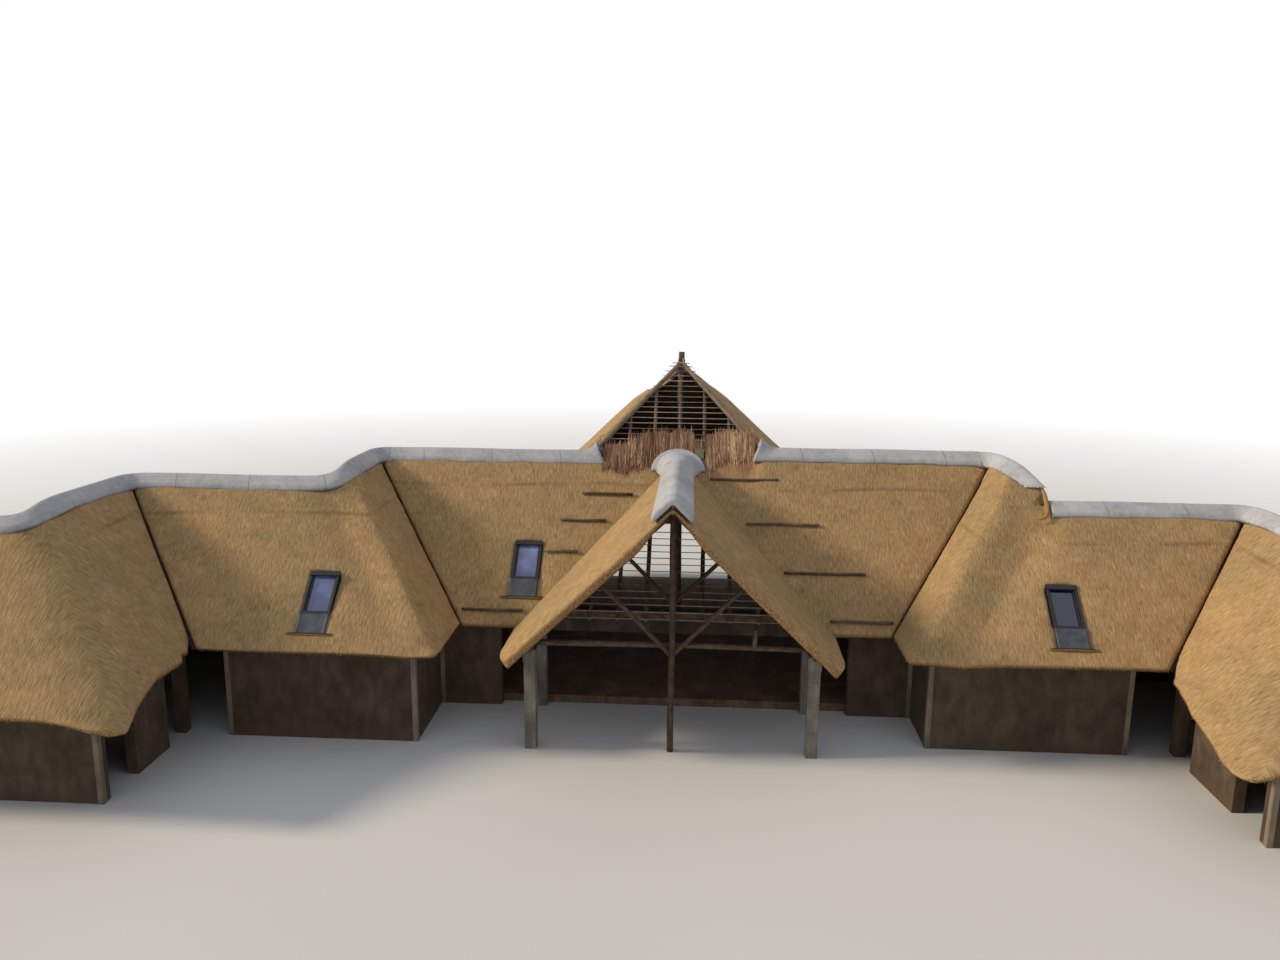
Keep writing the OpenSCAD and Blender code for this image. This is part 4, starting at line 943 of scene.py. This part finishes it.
def coarse_stalks(parts, count=10000):
    """Untrimmed stalks on the newest thatch, standing past its ragged upper border."""
    x = RANDOM.uniform(-2.1, 2.04, count)
    tuft = 0.7 * flat_noise(x, x * 0, 0.35, 51) + 0.3 * flat_noise(x, x * 0, 0.05, 53)
    top = np.interp(x, RAGGED_X, RAGGED_Z) + 0.06 * tuft
    depth = np.interp(x, [-2.1, -0.8, 0.8, 2.1], [0.2, 0.6, 0.58, 0.36])
    back = RANDOM.random(count) ** 1.2 * depth
    back = np.where(RANDOM.random(count) < 0.2, RANDOM.exponential(0.05, count), back)
    tip = top - back + RANDOM.exponential(0.035, count)
    lengths = RANDOM.uniform(0.24, 0.46, count)
    # They stay inside the opening and leave a gap in the dip of the ragged line
    x = np.where(tip < RIDGE_Z + 0.1, np.clip(x, -1.98, 1.99), x)
    keep = (x < 0.4) | (x > 0.72) | (tip > RIDGE_Z + 0.28)
    x, tip, lengths = x[keep], tip[keep], lengths[keep]
    kept = len(x)
    s = (RIDGE_Z - tip) / math.sin(FRONT_PITCH)
    h = RANDOM.uniform(-0.005, 0.035, kept)
    tips = np.array([on_front(*place) for place in zip(x, s, h)])
    lean = RANDOM.normal(0, 0.022, kept) + 0.07 * flat_noise(x, tip, 0.5, 52)
    ways = unit(np.outer(lean, [1, 0, 0]) - DOWN_AXIS)
    patches, streaks = flat_noise(x, tip * 0.5, 0.4, 54), flat_noise(x, tip * 0.1, 0.045, 55)
    tint = 0.38 + 0.16 * patches + 0.07 * x + 0.26 * streaks + RANDOM.normal(0, 0.2, kept)
    parts.blades(tips - ways * lengths[:, None], ways, np.tile(OUT_AXIS, (kept, 1)), lengths,
                 RANDOM.uniform(0.007, 0.018, kept), RANDOM.normal(0.0, 0.015, kept), np.clip(tint, 0, 1))


straw, stalks = Parts(), Parts()
for piece in (centre, *hipped, hall, centre_rear):
    eave_straw(straw, *piece)
straw.make("eaves_straw", STRAW_LOOK, "thatch", smooth=False)
coarse_stalks(stalks)
stalks.make("new_thatch_stalks", NEW_STRAW_LOOK, "new_thatch", smooth=False)


# Ridge caps

# Points across a cap's outer and under face, length of its trumpet-like start, and how deep and
# how long its end sinks into another cap
CAP_OUTER, CAP_UNDER = 21, 11
FLARE_LENGTH = 0.62
JOINT_DEPTH, JOINT_LENGTH = 0.014, 0.14


def cap_sweep(name, node, path, flare, seed, start_sinks=False, end_sinks=False):
    """A poured cap along a ridge line, with an optional trumpet-like start. An end that meets
    another cap sinks into it."""
    flat = unit(np.gradient(path[:, :2], axis=0))
    along = way_along(path[:, :3])
    across = np.concatenate([np.linspace(-1, 1, CAP_OUTER), np.linspace(1, -1, CAP_UNDER)])
    outside = np.arange(len(across)) < CAP_OUTER
    lip = 0.05 * (abs(across) > 0.99) * outside
    crown = 1 - across ** 2
    rings = []
    for (x, y, z, slope), (fx, fy), way in zip(path, flat, along):
        s = across * (CAP_HALF + 0.008 * math.sin(way * 2.1 + seed) + 0.006 * math.sin(way * 5.3))
        level = cap_height(s, slope) + 0.006 * math.sin(way * 1.7 + seed) - lip
        level = np.where(outside, level, level - 0.1 - 0.05 * across ** 4)
        t = max(0.0, 1 - way / FLARE_LENGTH)
        level += flare * t * t * crown
        level -= JOINT_DEPTH * start_sinks * max(0.0, 1 - way / JOINT_LENGTH)
        level -= JOINT_DEPTH * end_sinks * max(0.0, 1 - (along[-1] - way) / JOINT_LENGTH)
        shift = flare * t * crown * 0.9
        rings.append(np.stack([x - fy * s + fx * shift, y + fx * s + fy * shift, z + level], 1))
    size, last_ring = len(across), (len(path) - 1) * len(across)
    ring = np.arange(size)
    base = np.arange(0, last_ring, size)[:, None]
    after = (ring + 1) % size
    quads = np.stack([base + ring, base + after, base + size + after, base + size + ring], -1)
    faces = [tuple(q) for q in quads.reshape(-1, 4)]
    uv = [(across[k % size] * CAP_HALF, along[k // size]) for f in faces for k in f]
    # Each end is closed by faces between its outer and its under points
    top = CAP_OUTER - 1
    for first in (0, last_ring):
        for k in range(top // 2):
            a, b = k // 2, (k + 1) // 2
            for corners in ((k, k + 1, size - 1 - b, size - 1 - a),
                            (top - k, CAP_OUTER + a, CAP_OUTER + b, top - 1 - k)):
                face = [first + v for v in dict.fromkeys(corners)]
                faces.append(tuple(face if first else face[::-1]))
                uv += [(0.0, 0.45)] * len(face)
    # Painted shade: the under points get the edge value, which darkens them; the end rings do not
    edge = np.where(np.tile(outside, len(path)), 0.0, 1.0)
    edge[:size] = 0
    edge[-size:] = 0
    return add_piece(name, np.concatenate(rings), faces, CAP_LOOK, [node], uv,
                     values={"edge": edge})


def cut_off(obj, point, normal):
    """Cuts off the side of a piece that the normal points to, and closes the cut."""
    bm = bmesh.new()
    bm.from_mesh(obj.data)
    bmesh.ops.bisect_plane(bm, geom=bm.verts[:] + bm.edges[:] + bm.faces[:], plane_co=point, plane_no=normal,
                           clear_outer=True)
    bmesh.ops.holes_fill(bm, edges=[e for e in bm.edges if e.is_boundary])
    bm.to_mesh(obj.data)
    bm.free()


def closed_sweep(bm, rings):
    """Adds a closed solid through rings of the same number of points."""
    rows = [[bm.verts.new(p) for p in ring] for ring in rings]
    for a, b in zip(rows, rows[1:]):
        for k in range(len(a)):
            n = (k + 1) % len(a)
            bm.faces.new((a[k], a[n], b[n], b[k]))
    bm.faces.new(rows[0][::-1])
    bm.faces.new(rows[-1])
    bmesh.ops.triangulate(bm, faces=[f for f in bm.faces if len(f.verts) > 4])
    bmesh.ops.recalc_face_normals(bm, faces=bm.faces)


def porch_cap():
    """The porch cap with its half-round collar against the main roof, as one smooth pour."""
    node = "ridge_cap_porch"
    low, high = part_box(node)
    bm = bmesh.new()
    # The cap along the porch ridge
    crest, half, crown, points = 6.0, 0.46, 0.15, 25
    across = np.concatenate([np.linspace(-1, 1, points), np.linspace(1, -1, points)[1:-1]])
    outer = np.arange(len(across)) < points
    rings = []
    for y in np.linspace(low.y, high.y - 0.25, 24):
        s = across * (half - 0.05 * (y - low.y) / (high.y - low.y))
        over = crest - 1.05 * (np.sqrt(s ** 2 + crown ** 2) - crown) - 0.06 * np.abs(across) ** 12
        under = PORCH_RIDGE_Z - PORCH_TAN * np.abs(s) - 0.07
        rings.append([(x, y, z) for x, z in zip(s, np.where(outer, over, under))])
    closed_sweep(bm, rings)
    # The half-round collar on the front slope
    round_x, centre_s = 0.71, 0.64
    closed_sweep(bm, [[on_front(round_x * math.cos(a), centre_s - round_x * math.sin(a), h)
                       for a in np.linspace(0, math.pi, 33)] for h in (-0.06, 0.10)])
    # The swelling between both
    foot, top = 5.5, 6.03
    rings = []
    for t in np.linspace(0, 1, 8):
        size = 0.44 + 0.2 * t ** 2
        y = RIDGE_Y - 1.15 + 0.85 * t
        turns = [(math.cos(a), math.sin(a)) for a in np.linspace(0.0, math.pi, 25)]
        rings.append([(size * c, y + 0.3 * s * t, foot + (top - foot) * s ** 0.8) for c, s in turns])
    closed_sweep(bm, rings)
    co, quads = even_mesh(bm, 0.031)
    co = relax(co, edge_list(quads), 32)
    n = vertex_normals(co, quads)
    co = inside_box(co + n * (value_noise(co, 0.6, 31) * 0.006)[:, None], [node], 0.06)
    # Painted shade: faces that point down get the edge value, which darkens them
    add_piece("cap_porch", co, quads, CAP_LOOK, [node], np.full((quads.size, 2), 0.3),
              values={"edge": smooth_step(-n[:, 2], 0.35, 0.8)})
    # A sheet of flashing stands beside the collar
    sheet = Parts()
    sheet.bar(on_front(0.555, 0.06, 0.035), (0.24, 0.35, 0.014))
    sheet.make("flashing_beside_the_collar", FLASHING_LOOK, "lead", smooth=False)


cap_sweep("cap_centre_left", "ridge_cap_centre_left", LEFT_CENTRE_PATH, 0.24, 1, end_sinks=True)
cap_sweep("cap_centre_right", "ridge_cap_centre_right", RIGHT_CENTRE_PATH, 0.24, 2, end_sinks=True)
cap_sweep("cap_left_run", "ridge_cap_left", LEFT_RUN_PATH, 0, 3, start_sinks=True)
cross_cap = cap_sweep("cap_right_cross", "ridge_cap_right_cross", RIGHT_CROSS_PATH, 0, 4, start_sinks=True)
cut_off(cross_cap, CROSS_CAP_END, Vector((0, -math.sin(CUT_TILT), -math.cos(CUT_TILT))))
cap_sweep("cap_right_run", "ridge_cap_right_wing", RIGHT_RUN_PATH, 0, 5)
porch_cap()


# Poles, rafters and laths

def cylinder_axes(node):
    """Ends and radius of each straight round pole of a node, from its loose parts."""
    bm = welded_solids([node])
    seen, found = set(), []
    for v in bm.verts:
        if v in seen:
            continue
        stack, group = [v], []
        seen.add(v)
        while stack:
            w = stack.pop()
            group.append(w.co.copy())
            for e in w.link_edges:
                o = e.other_vert(w)
                if o not in seen:
                    seen.add(o)
                    stack.append(o)
        p = np.array(group)
        middle = p.mean(0)
        axis = np.linalg.svd(p - middle, full_matrices=False)[2][0]
        t = (p - middle) @ axis
        radius = np.median(np.linalg.norm(p - middle - np.outer(t, axis), axis=1))
        found.append((middle + axis * t.min(), middle + axis * t.max(), radius))
    bm.free()
    return found


def thatching_poles():
    parts = Parts()
    for i, (a, b, r) in enumerate(cylinder_axes("thatching_poles")):
        parts.pole(a, b, r * 1.05, r * 0.85, 0.012, 40 + i, tint=0.35 + 0.3 * (i % 3) / 2)
    parts.make("poles_on_the_slope", POLE_LOOK, "pole_timber", ["thatching_poles"])


def braced_post(name, node, radius, brace_foot, seed):
    """A post under the porch ridge with two slanting braces, which start at a height above its
    foot."""
    low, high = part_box(node)
    y, z, reach = (low.y + high.y) / 2, low.z + brace_foot, high.x - 0.03
    parts = Parts()
    parts.pole((0, y, low.z + 0.004), (0, y, high.z - 0.02), radius, radius * 0.85, 0.02, seed, 14, tint=0.2)
    for side in (-1, 1):
        parts.pole((side * 0.02, y, z), (side * reach, y, z + reach), 0.055, 0.0495, 0.012, seed + 3 + side,
                   tint=0.3)
    parts.make(name, POLE_LOOK, "pole_timber", [node])


def porch_timber():
    """The porch's posts, its tie beam with a stub post, and its rafters."""
    braced_post("porch_pole_with_braces", "porch_centre_pole", 0.075, 2.3, 60)
    braced_post("king_post_with_braces", "porch_king_post", 0.09, 0.165, 70)
    low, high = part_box("porch_tie_beam")
    y, z = (low.y + high.y) / 2, low.z + 0.075
    tie = Parts()
    tie.pole((low.x, y, z), (high.x, y, z), 0.07, 0.062, 0.02, 81, 12, tint=0.4)
    tie.pole((1.84, y, z), (1.86, y, high.z), 0.056, 0.05, 0.0, 82, tint=0.55)
    tie.make("tie_beam_with_stub", POLE_LOOK, "pole_timber", ["porch_tie_beam"])
    low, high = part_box("porch_rafters")
    top = high.z - 0.08
    rafters = Parts()
    for i, y in enumerate((low.y + 0.075, high.y - 0.075)):
        for side in (-1, 1):
            rafters.pole((0, y, top), (side * high.x, y, top - high.x * PORCH_TAN), 0.075, 0.066, 0.012,
                         90 + 2 * i + side, tint=0.4)
    rafters.make("porch_rafter_poles", POLE_LOOK, "pole_timber", ["porch_rafters"])


def front_timber():
    """Rafters and laths of the front slope. Laths show near the peak and under the porch."""
    rafters, laths = Parts(), Parts()
    depth = THATCH + LATH + 0.055
    half_open, rafter_step = 3.14, 0.68
    first_lath, first_porch_lath = 0.28, 2.37
    level = math.cos(FRONT_PITCH)
    low_s = (RIDGE_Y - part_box("hall_front_frame")[0].y) / level
    for i in range(-4, 5):
        x = i * rafter_step
        top = (PEAK_Y - abs(x) - 0.1) / level
        rafters.pole(on_front(x, low_s, -depth), on_front(x, -top, -depth), 0.056, 0.046, 0.015, 100 + i,
                     tint=0.45 + 0.25 * RANDOM.random())
    rafters.make("front_rafters", POLE_LOOK, "new_timber", ["hall_front_frame"])
    peak_s = PEAK_Y / level
    rows = [-peak_s + first_lath + i * LATH_STEP for i in range(17)]
    rows += [first_porch_lath + i * LATH_STEP for i in range(14)]
    for i, s in enumerate(rows):
        if s < 0:
            reach = min(half_open, (peak_s + s) * level + 0.04)
        else:
            under_porch = (PORCH_RIDGE_Z - (RIDGE_Z - s * math.sin(FRONT_PITCH))) / PORCH_TAN - 0.3
            reach = min(half_open - 0.25, under_porch)
        tilt = RANDOM.normal(0, 0.006, 2)
        a, b = (on_front(side * reach, s + more, -THATCH - 0.012) for side, more in zip((-1, 1), tilt))
        laths.pole(a, b, 0.0115, 0.0105, 0.008, 200 + i, 6, 0.35, tint=RANDOM.random(), rough=0.12)
    laths.make("front_laths", LATH_LOOK, "new_timber")


def peak_timber():
    """The hip poles, pole ends and short laths round the peak, and the post under it."""
    hips, ends, post = Parts(), Parts(), Parts()
    deep = (THATCH + LATH) / math.cos(FRONT_PITCH)
    low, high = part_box("hall_hip_poles")
    reach = (high.x - low.x) / 2 - 0.03
    for i, (sx, sy) in enumerate(((-1, -1), (1, -1), (1, 1), (-1, 1))):
        drop = deep * 0.7 if sy < 0 else deep + 0.085
        a = PEAK + Vector((-sx * 0.06, -sy * 0.06, -drop + 0.05))
        b = PEAK + Vector((sx * reach, sy * reach, -drop - reach * FRONT_TAN))
        hips.pole(a, b, 0.06, 0.075, 0.02, 120 + i, 12, tint=0.9)
    hips.make("hip_poles", POLE_LOOK, "pole_timber", ["hall_hip_poles"])
    foot_z, tip_z, laths_meet_z = 7.95, 8.27, 8.42
    for i in range(4):
        c, s = math.cos(i * 1.57 + 0.6), math.sin(i * 1.57 + 0.6)
        a = Vector((PEAK.x + c * 0.15, PEAK.y + s * 0.15, foot_z))
        b = Vector((PEAK.x + c * 0.09, PEAK.y + s * 0.09, tip_z + 0.03 * i))
        ends.pole(a, b, 0.03, 0.024, 0.0, 140 + i, 8, tint=RANDOM.random())
    for i, z in enumerate((7.98, 8.12, 8.22)):
        reach = 0.08 + (laths_meet_z - z) * 0.9
        for c, s in ((1, 0), (0, 1)):
            a = Vector((PEAK.x - c * reach - s * 0.12, PEAK.y - s * reach - c * 0.12, z))
            b = Vector((PEAK.x + c * reach * 0.9 - s * 0.12, PEAK.y + s * reach * 0.9 - c * 0.12, z - 0.02))
            ends.pole(a, b, 0.013, 0.012, 0.0, 160 + i, 6, tint=0.6)
    ends.make("pole_ends_at_the_top", LATH_LOOK, "pole_timber")
    post.pole((PEAK.x, PEAK.y, POST_LOW.z), (PEAK.x, PEAK.y, POST_HIGH.z - 0.01), 0.11, 0.085, 0.02, 130, 16)
    post.make("middle_post", POLE_LOOK, "pole_timber", ["hall_centre_post"])


thatching_poles()
porch_timber()
front_timber()
peak_timber()


# Walls, columns and beams

WORN_EDGE = 0.012
BLOCKS = [
    ("porch_column_pair", "porch_columns", CONCRETE_LOOK, "concrete"),
    ("hall_column_set", "hall_columns", CONCRETE_LOOK, "concrete"),
    ("entrance_beam", "hall_front_beam", BEAM_PAINTED_SHADE_LOOK, "concrete"),
    ("hall_ring", "hall_ring_beam", BEAM_PAINTED_SHADE_LOOK, "concrete"),
    ("left_ring", "left_ring_beam", BEAM_PAINTED_SHADE_LOOK, "concrete", ("thatch_left_end", "thatch_left_wing")),
    ("right_ring", "right_ring_beam", BEAM_PAINTED_SHADE_LOOK, "concrete", ("thatch_right_end", "thatch_right_wing")),
    ("wall_plate", "hall_wall_plate", POLE_LOOK, "new_timber"),
    ("porch_side_timbers", "porch_side_beams", POLE_LOOK, "pole_timber"),
    ("hall_slab", "hall_floor", FLOOR_LOOK, "concrete"),
]
WALLS = {
    "hall_side_walls": "hall_walls", "centre_walls": "centre_front_walls",
    "left_wing_wall": "left_wing_front_wall", "right_wing_wall": "right_wing_front_wall",
    "left_back_wall": "left_rear_wall", "right_back_wall": "right_rear_wall",
    "left_end_wall_set": "left_end_walls", "right_end_wall_set": "right_end_walls",
}
BARE_CORNERS = {
    "left_wing_front_wall": (-1, 1), "right_wing_front_wall": (-1, 1), "left_end_walls": (1,),
    "right_end_walls": (-1,), "centre_front_walls": (-1, 1),
}


def dressed_block(name, node, material, slot, hips=()):
    """A copy of plain blocks with worn edges. Its upper corners stay under the rounded hips."""
    bm = welded_solids([node])
    bmesh.ops.dissolve_limit(bm, angle_limit=0.01, verts=bm.verts, edges=bm.edges)
    sharp = [e for e in bm.edges if len(e.link_faces) == 2 and e.calc_face_angle(0) > 0.5]
    bmesh.ops.bevel(bm, geom=sharp, offset=WORN_EDGE, segments=2, affect="EDGES", profile=0.6,
                    clamp_overlap=True)
    bmesh.ops.triangulate(bm, faces=[f for f in bm.faces if len(f.verts) > 4])
    for hip in hips:
        for v in bm.verts:
            if v.co.z > 2.5:
                v.co.z = round_hip(np.array([v.co]), hip)[0, 2]
    # The UV's second value runs along the timber, and up the walls and concrete
    timber = slot.endswith("timber")
    layer = bm.loops.layers.uv.new("UVMap")
    for f in bm.faces:
        n = [abs(a) for a in f.normal]
        for corner in f.loops:
            x, y, z = corner.vert.co
            level = x if n[1] >= n[0] else y
            if max(n) == n[2]:
                corner[layer].uv = (y, x)
            else:
                corner[layer].uv = (z, level) if timber else (level, z)
    mesh = bpy.data.meshes.new(name)
    bm.to_mesh(mesh)
    bm.free()
    set_values(mesh, "tint", np.full(len(mesh.vertices), 0.5))
    piece_of(mesh, name, material, [node])


def corner_strips():
    """Paler strips of bare mortar on the front corners of the walls."""
    strips = Parts()
    wide, proud = 0.11, 0.012
    inset = (wide - proud) / 2
    for node, sides in BARE_CORNERS.items():
        low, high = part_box(node)
        top = high.z - 0.01
        for side in sides:
            x = high.x if side > 0 else low.x
            strips.bar(Vector((x - side * inset, low.y, top / 2)), (wide, proud * 2, top), axes=LEVEL_AXES)
            strips.bar(Vector((x, low.y + inset, top / 2)), (proud * 2, wide, top), axes=LEVEL_AXES)
    strips.make("corner_strips", EDGE_LOOK, "plaster", smooth=False)


for block in BLOCKS + [(name, node, WALL_LOOK, "plaster") for name, node in WALLS.items()]:
    dressed_block(*block)
corner_strips()


# Roof windows

def window_frames():
    """Outer frame, sash and two cover strips of each window."""
    bar, sash_bar, sash_deep, sash_inset = 0.055, 0.034, 0.05, 0.075
    parts = Parts()
    for x0, x1, s0, s1, h0, h1 in window_boxes("roof_window_frames"):
        xm, sm, hm, sash = (x0 + x1) / 2, (s0 + s1) / 2, (h0 + h1) / 2, h1 - sash_deep
        wide, long, deep = x1 - x0, s1 - s0, h1 - h0
        bars = [((x, sm, hm), (bar, long, deep), 0.008) for x in (x0 + bar / 2, x1 - bar / 2)]
        bars += [((xm, s, hm), (wide - 2 * bar, bar, deep), 0.008) for s in (s0 + bar / 2, s1 - bar / 2)]
        bars += [((x, sm, sash), (sash_bar, long - 0.14, sash_deep), 0.006)
                 for x in (x0 + sash_inset, x1 - sash_inset)]
        bars += [((xm, s, sash), (wide - 0.14, 0.036, sash_deep), 0.006)
                 for s in (s0 + 0.08, s1 - sash_inset)]
        bars += [((xm, s0 + 0.06, h1 + 0.008), (wide + 0.02, 0.12, 0.03), 0.008),
                 ((xm, s1 - 0.03, h1 + 0.004), (wide + 0.01, 0.07, 0.02), 0.006)]
        for place, size, edge in bars:
            parts.bar(slope_place(*place), size, edge)
    parts.make("window_frames_and_sashes", FRAME_LOOK, "window_frame", ["roof_window_frames"], smooth=False)


def window_aprons():
    """Soft metal aprons: dented, with a turned-up rim on both sides."""
    co, faces = [], []
    nx, ns = 16, 12
    row = nx + 1
    for k, (x0, x1, s0, s1, h0, h1) in enumerate(APRONS):
        under = len(co)
        for layer in (0, 1):
            first = len(co)
            for j in range(ns + 1):
                for i in range(row):
                    a, b = i / nx, j / ns
                    rim = 0.018 * (max(0, abs(a - 0.5) * 2 - 0.86) / 0.14) ** 2
                    wave = 0.004 * math.sin(9 * a + 4 * b + k) * math.sin(7 * b + 2 * a)
                    h = h1 + rim + wave + 0.012 if layer else h0 - 0.02
                    co.append(slope_place(x0 + (x1 - x0) * a, s0 + (s1 - s0) * b, h))
            for q in (first + j * row + i for j in range(ns) for i in range(nx)):
                quad = (q, q + 1, q + row + 1, q + row)
                faces.append(quad[::-1] if layer else quad)
        border = [*range(row)] + [nx + row * j for j in range(1, ns + 1)]
        border += [row * ns + i for i in range(nx - 1, -1, -1)] + [row * j for j in range(ns - 1, 0, -1)]
        for a, b in zip(border, border[1:] + border[:1]):
            faces.append((under + b, under + a, first + a, first + b))
    add_piece("window_apron_sheets", co, faces, APRON_LOOK, ["roof_window_aprons"])


def straw_lips():
    """Rolls of straw: one up to the lower end of each apron, darkened as painted shade, with a dark slit
    above it as a painted shadow, and one that ends the right cross part, beside the start of the wing's cap."""
    lips, painted_shadow_slits = Parts(), Parts()
    half_length = 0.56
    t = np.linspace(-1, 1, 25)
    fat = np.sqrt(np.maximum(1 - t ** 2, 0.0))[:, None]
    for x0, x1, s0, s1, h0, h1 in APRONS:
        for parts, s, h, r in ((lips, s1 + 0.03, 0.0, 0.03), (painted_shadow_slits, s1 - 0.002, 0.016, 0.014)):
            path = [slope_place((x0 + x1) / 2 + half_length * a, s - 0.012 * (1 - a * a), h1 + h) for a in t]
            # Painted shade: the low tint darkens each apron's lip, and the slit is a painted shadow line
            parts.tube(path, 0.002 + r * fat, tint=0.1)
    rolled = [(8.84, -1.74, 5.60), (8.87, -1.83, 5.53), (8.87, -1.95, 5.42), (8.87, -2.10, 5.26),
              (8.85, -2.24, 5.12), (8.78, -2.32, 5.03), (8.68, -2.34, 5.00), (8.55, -2.34, 4.99)]
    thick = np.array([0.02, 0.045, 0.055, 0.055, 0.05, 0.04, 0.03, 0.012])
    lips.tube(rolled, thick[:, None], tint=0.42)
    lips.make("straw_lips", STRAW_LOOK, "thatch")
    painted_shadow_slits.make("painted_shadow_under_aprons", GUTTER_LOOK, "gutter")


window_frames()
window_aprons()
straw_lips()
for node, look in (("roof_window_glass", GLASS_LOOK), ("valley_gutters", GUTTER_LOOK)):
    obj = NODES[node]
    obj.data.materials.clear()
    obj.data.materials.append(look)


# Floor, light and camera

FLOOR_HALF = 300
FADE_FROM, FADE_TO = 24, 62
SUN_RISE, SUN_TURN, SUN_WIDTH = math.radians(27), math.radians(4), math.radians(9)
CAMERA_PLACE = (0.436, -25.253, 10.228)
CAMERA_TURN, CAMERA_DOWN, CAMERA_ROLL = math.radians(3.275), math.radians(11.045), math.radians(0.503)
WHITE = (1, 1, 1, 1)


def floor_and_world():
    """A pale floor that fades into white far out. The world is white where it is seen."""
    corners = [(x * FLOOR_HALF, y * FLOOR_HALF, 0) for x, y in ((-1, -1), (1, -1), (1, 1), (-1, 1))]
    mesh = bpy.data.meshes.new("studio_floor")
    mesh.from_pydata(corners, [], [(0, 1, 2, 3)])
    s = Shader("studio_floor")
    tone = s.noise((0.08, 0.08, 0.08), 2.0)
    s.finish(s.ramp(tone, {0.3: (0.72, 0.71, 0.69, 1), 0.7: (0.76, 0.75, 0.73, 1)}), 0.95)
    far = s.node("VectorMath", {0: s.place()}, operation="LENGTH").outputs["Value"]
    glow = s.node("Emission", {"Color": WHITE, "Strength": 1.0}).outputs[0]
    seen = s.node("LightPath").outputs["Is Camera Ray"]
    share = s.math("MULTIPLY", s.spread(far, FADE_FROM, FADE_TO), seen)
    mixed = s.node("MixShader", {0: share, 1: s.surface.outputs[0], 2: glow}).outputs[0]
    s.put(s.tree.nodes["Material Output"].inputs["Surface"], mixed)
    mesh.materials.append(s.material)
    floor = link("studio_floor", mesh)
    floor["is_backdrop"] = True
    world = bpy.data.worlds.new("studio")
    bpy.context.scene.world = world
    world.use_nodes = True
    world.node_tree.nodes.clear()
    w = Nodes(world.node_tree)
    rays = w.node("LightPath").outputs
    mirrored = w.math("MAXIMUM", rays["Is Glossy Ray"], rays["Is Transmission Ray"])
    seen = w.math("MAXIMUM", rays["Is Camera Ray"], mirrored)
    fill = w.node("Background", {"Color": (0.92, 0.97, 1.06, 1), "Strength": 0.45}).outputs[0]
    white = w.node("Background", {"Color": WHITE, "Strength": 1.0}).outputs[0]
    mixed = w.node("MixShader", {0: seen, 1: fill, 2: white}).outputs[0]
    w.node("OutputWorld", {"Surface": mixed})


def sun():
    """A low warm sun from the left."""
    key = bpy.data.lights.new("key", "SUN")
    key.energy = 2.7
    key.angle = SUN_WIDTH
    key.color = (1.0, 0.86, 0.66)
    lamp = link("key", key)
    level = math.cos(SUN_RISE)
    towards = Vector((-math.cos(SUN_TURN) * level, -math.sin(SUN_TURN) * level, math.sin(SUN_RISE)))
    lamp.rotation_mode = "QUATERNION"
    lamp.rotation_quaternion = towards.to_track_quat("Z", "Y")


def camera():
    """The photo's viewpoint: 10.2 m up, 25 m in front of the ridge, looking a little down and left."""
    data = bpy.data.cameras.new("camera")
    data.sensor_width = 36
    data.lens = 27.23
    data.clip_end = 1000
    turn, down, roll = CAMERA_TURN, CAMERA_DOWN, CAMERA_ROLL
    right = Vector((math.cos(turn), math.sin(turn), 0))
    ahead = Vector((-math.sin(turn) * math.cos(down), math.cos(turn) * math.cos(down), -math.sin(down)))
    up = right.cross(ahead)
    tilted_right = right * math.cos(roll) + up * math.sin(roll)
    tilted_up = up * math.cos(roll) - right * math.sin(roll)
    matrix = Matrix((tilted_right, tilted_up, -ahead)).transposed().to_4x4()
    matrix.translation = CAMERA_PLACE
    obj = link("camera", data)
    obj.matrix_world = matrix
    bpy.context.scene.camera = obj


floor_and_world()
sun()
camera()
bpy.context.scene.view_settings.view_transform = "Standard"
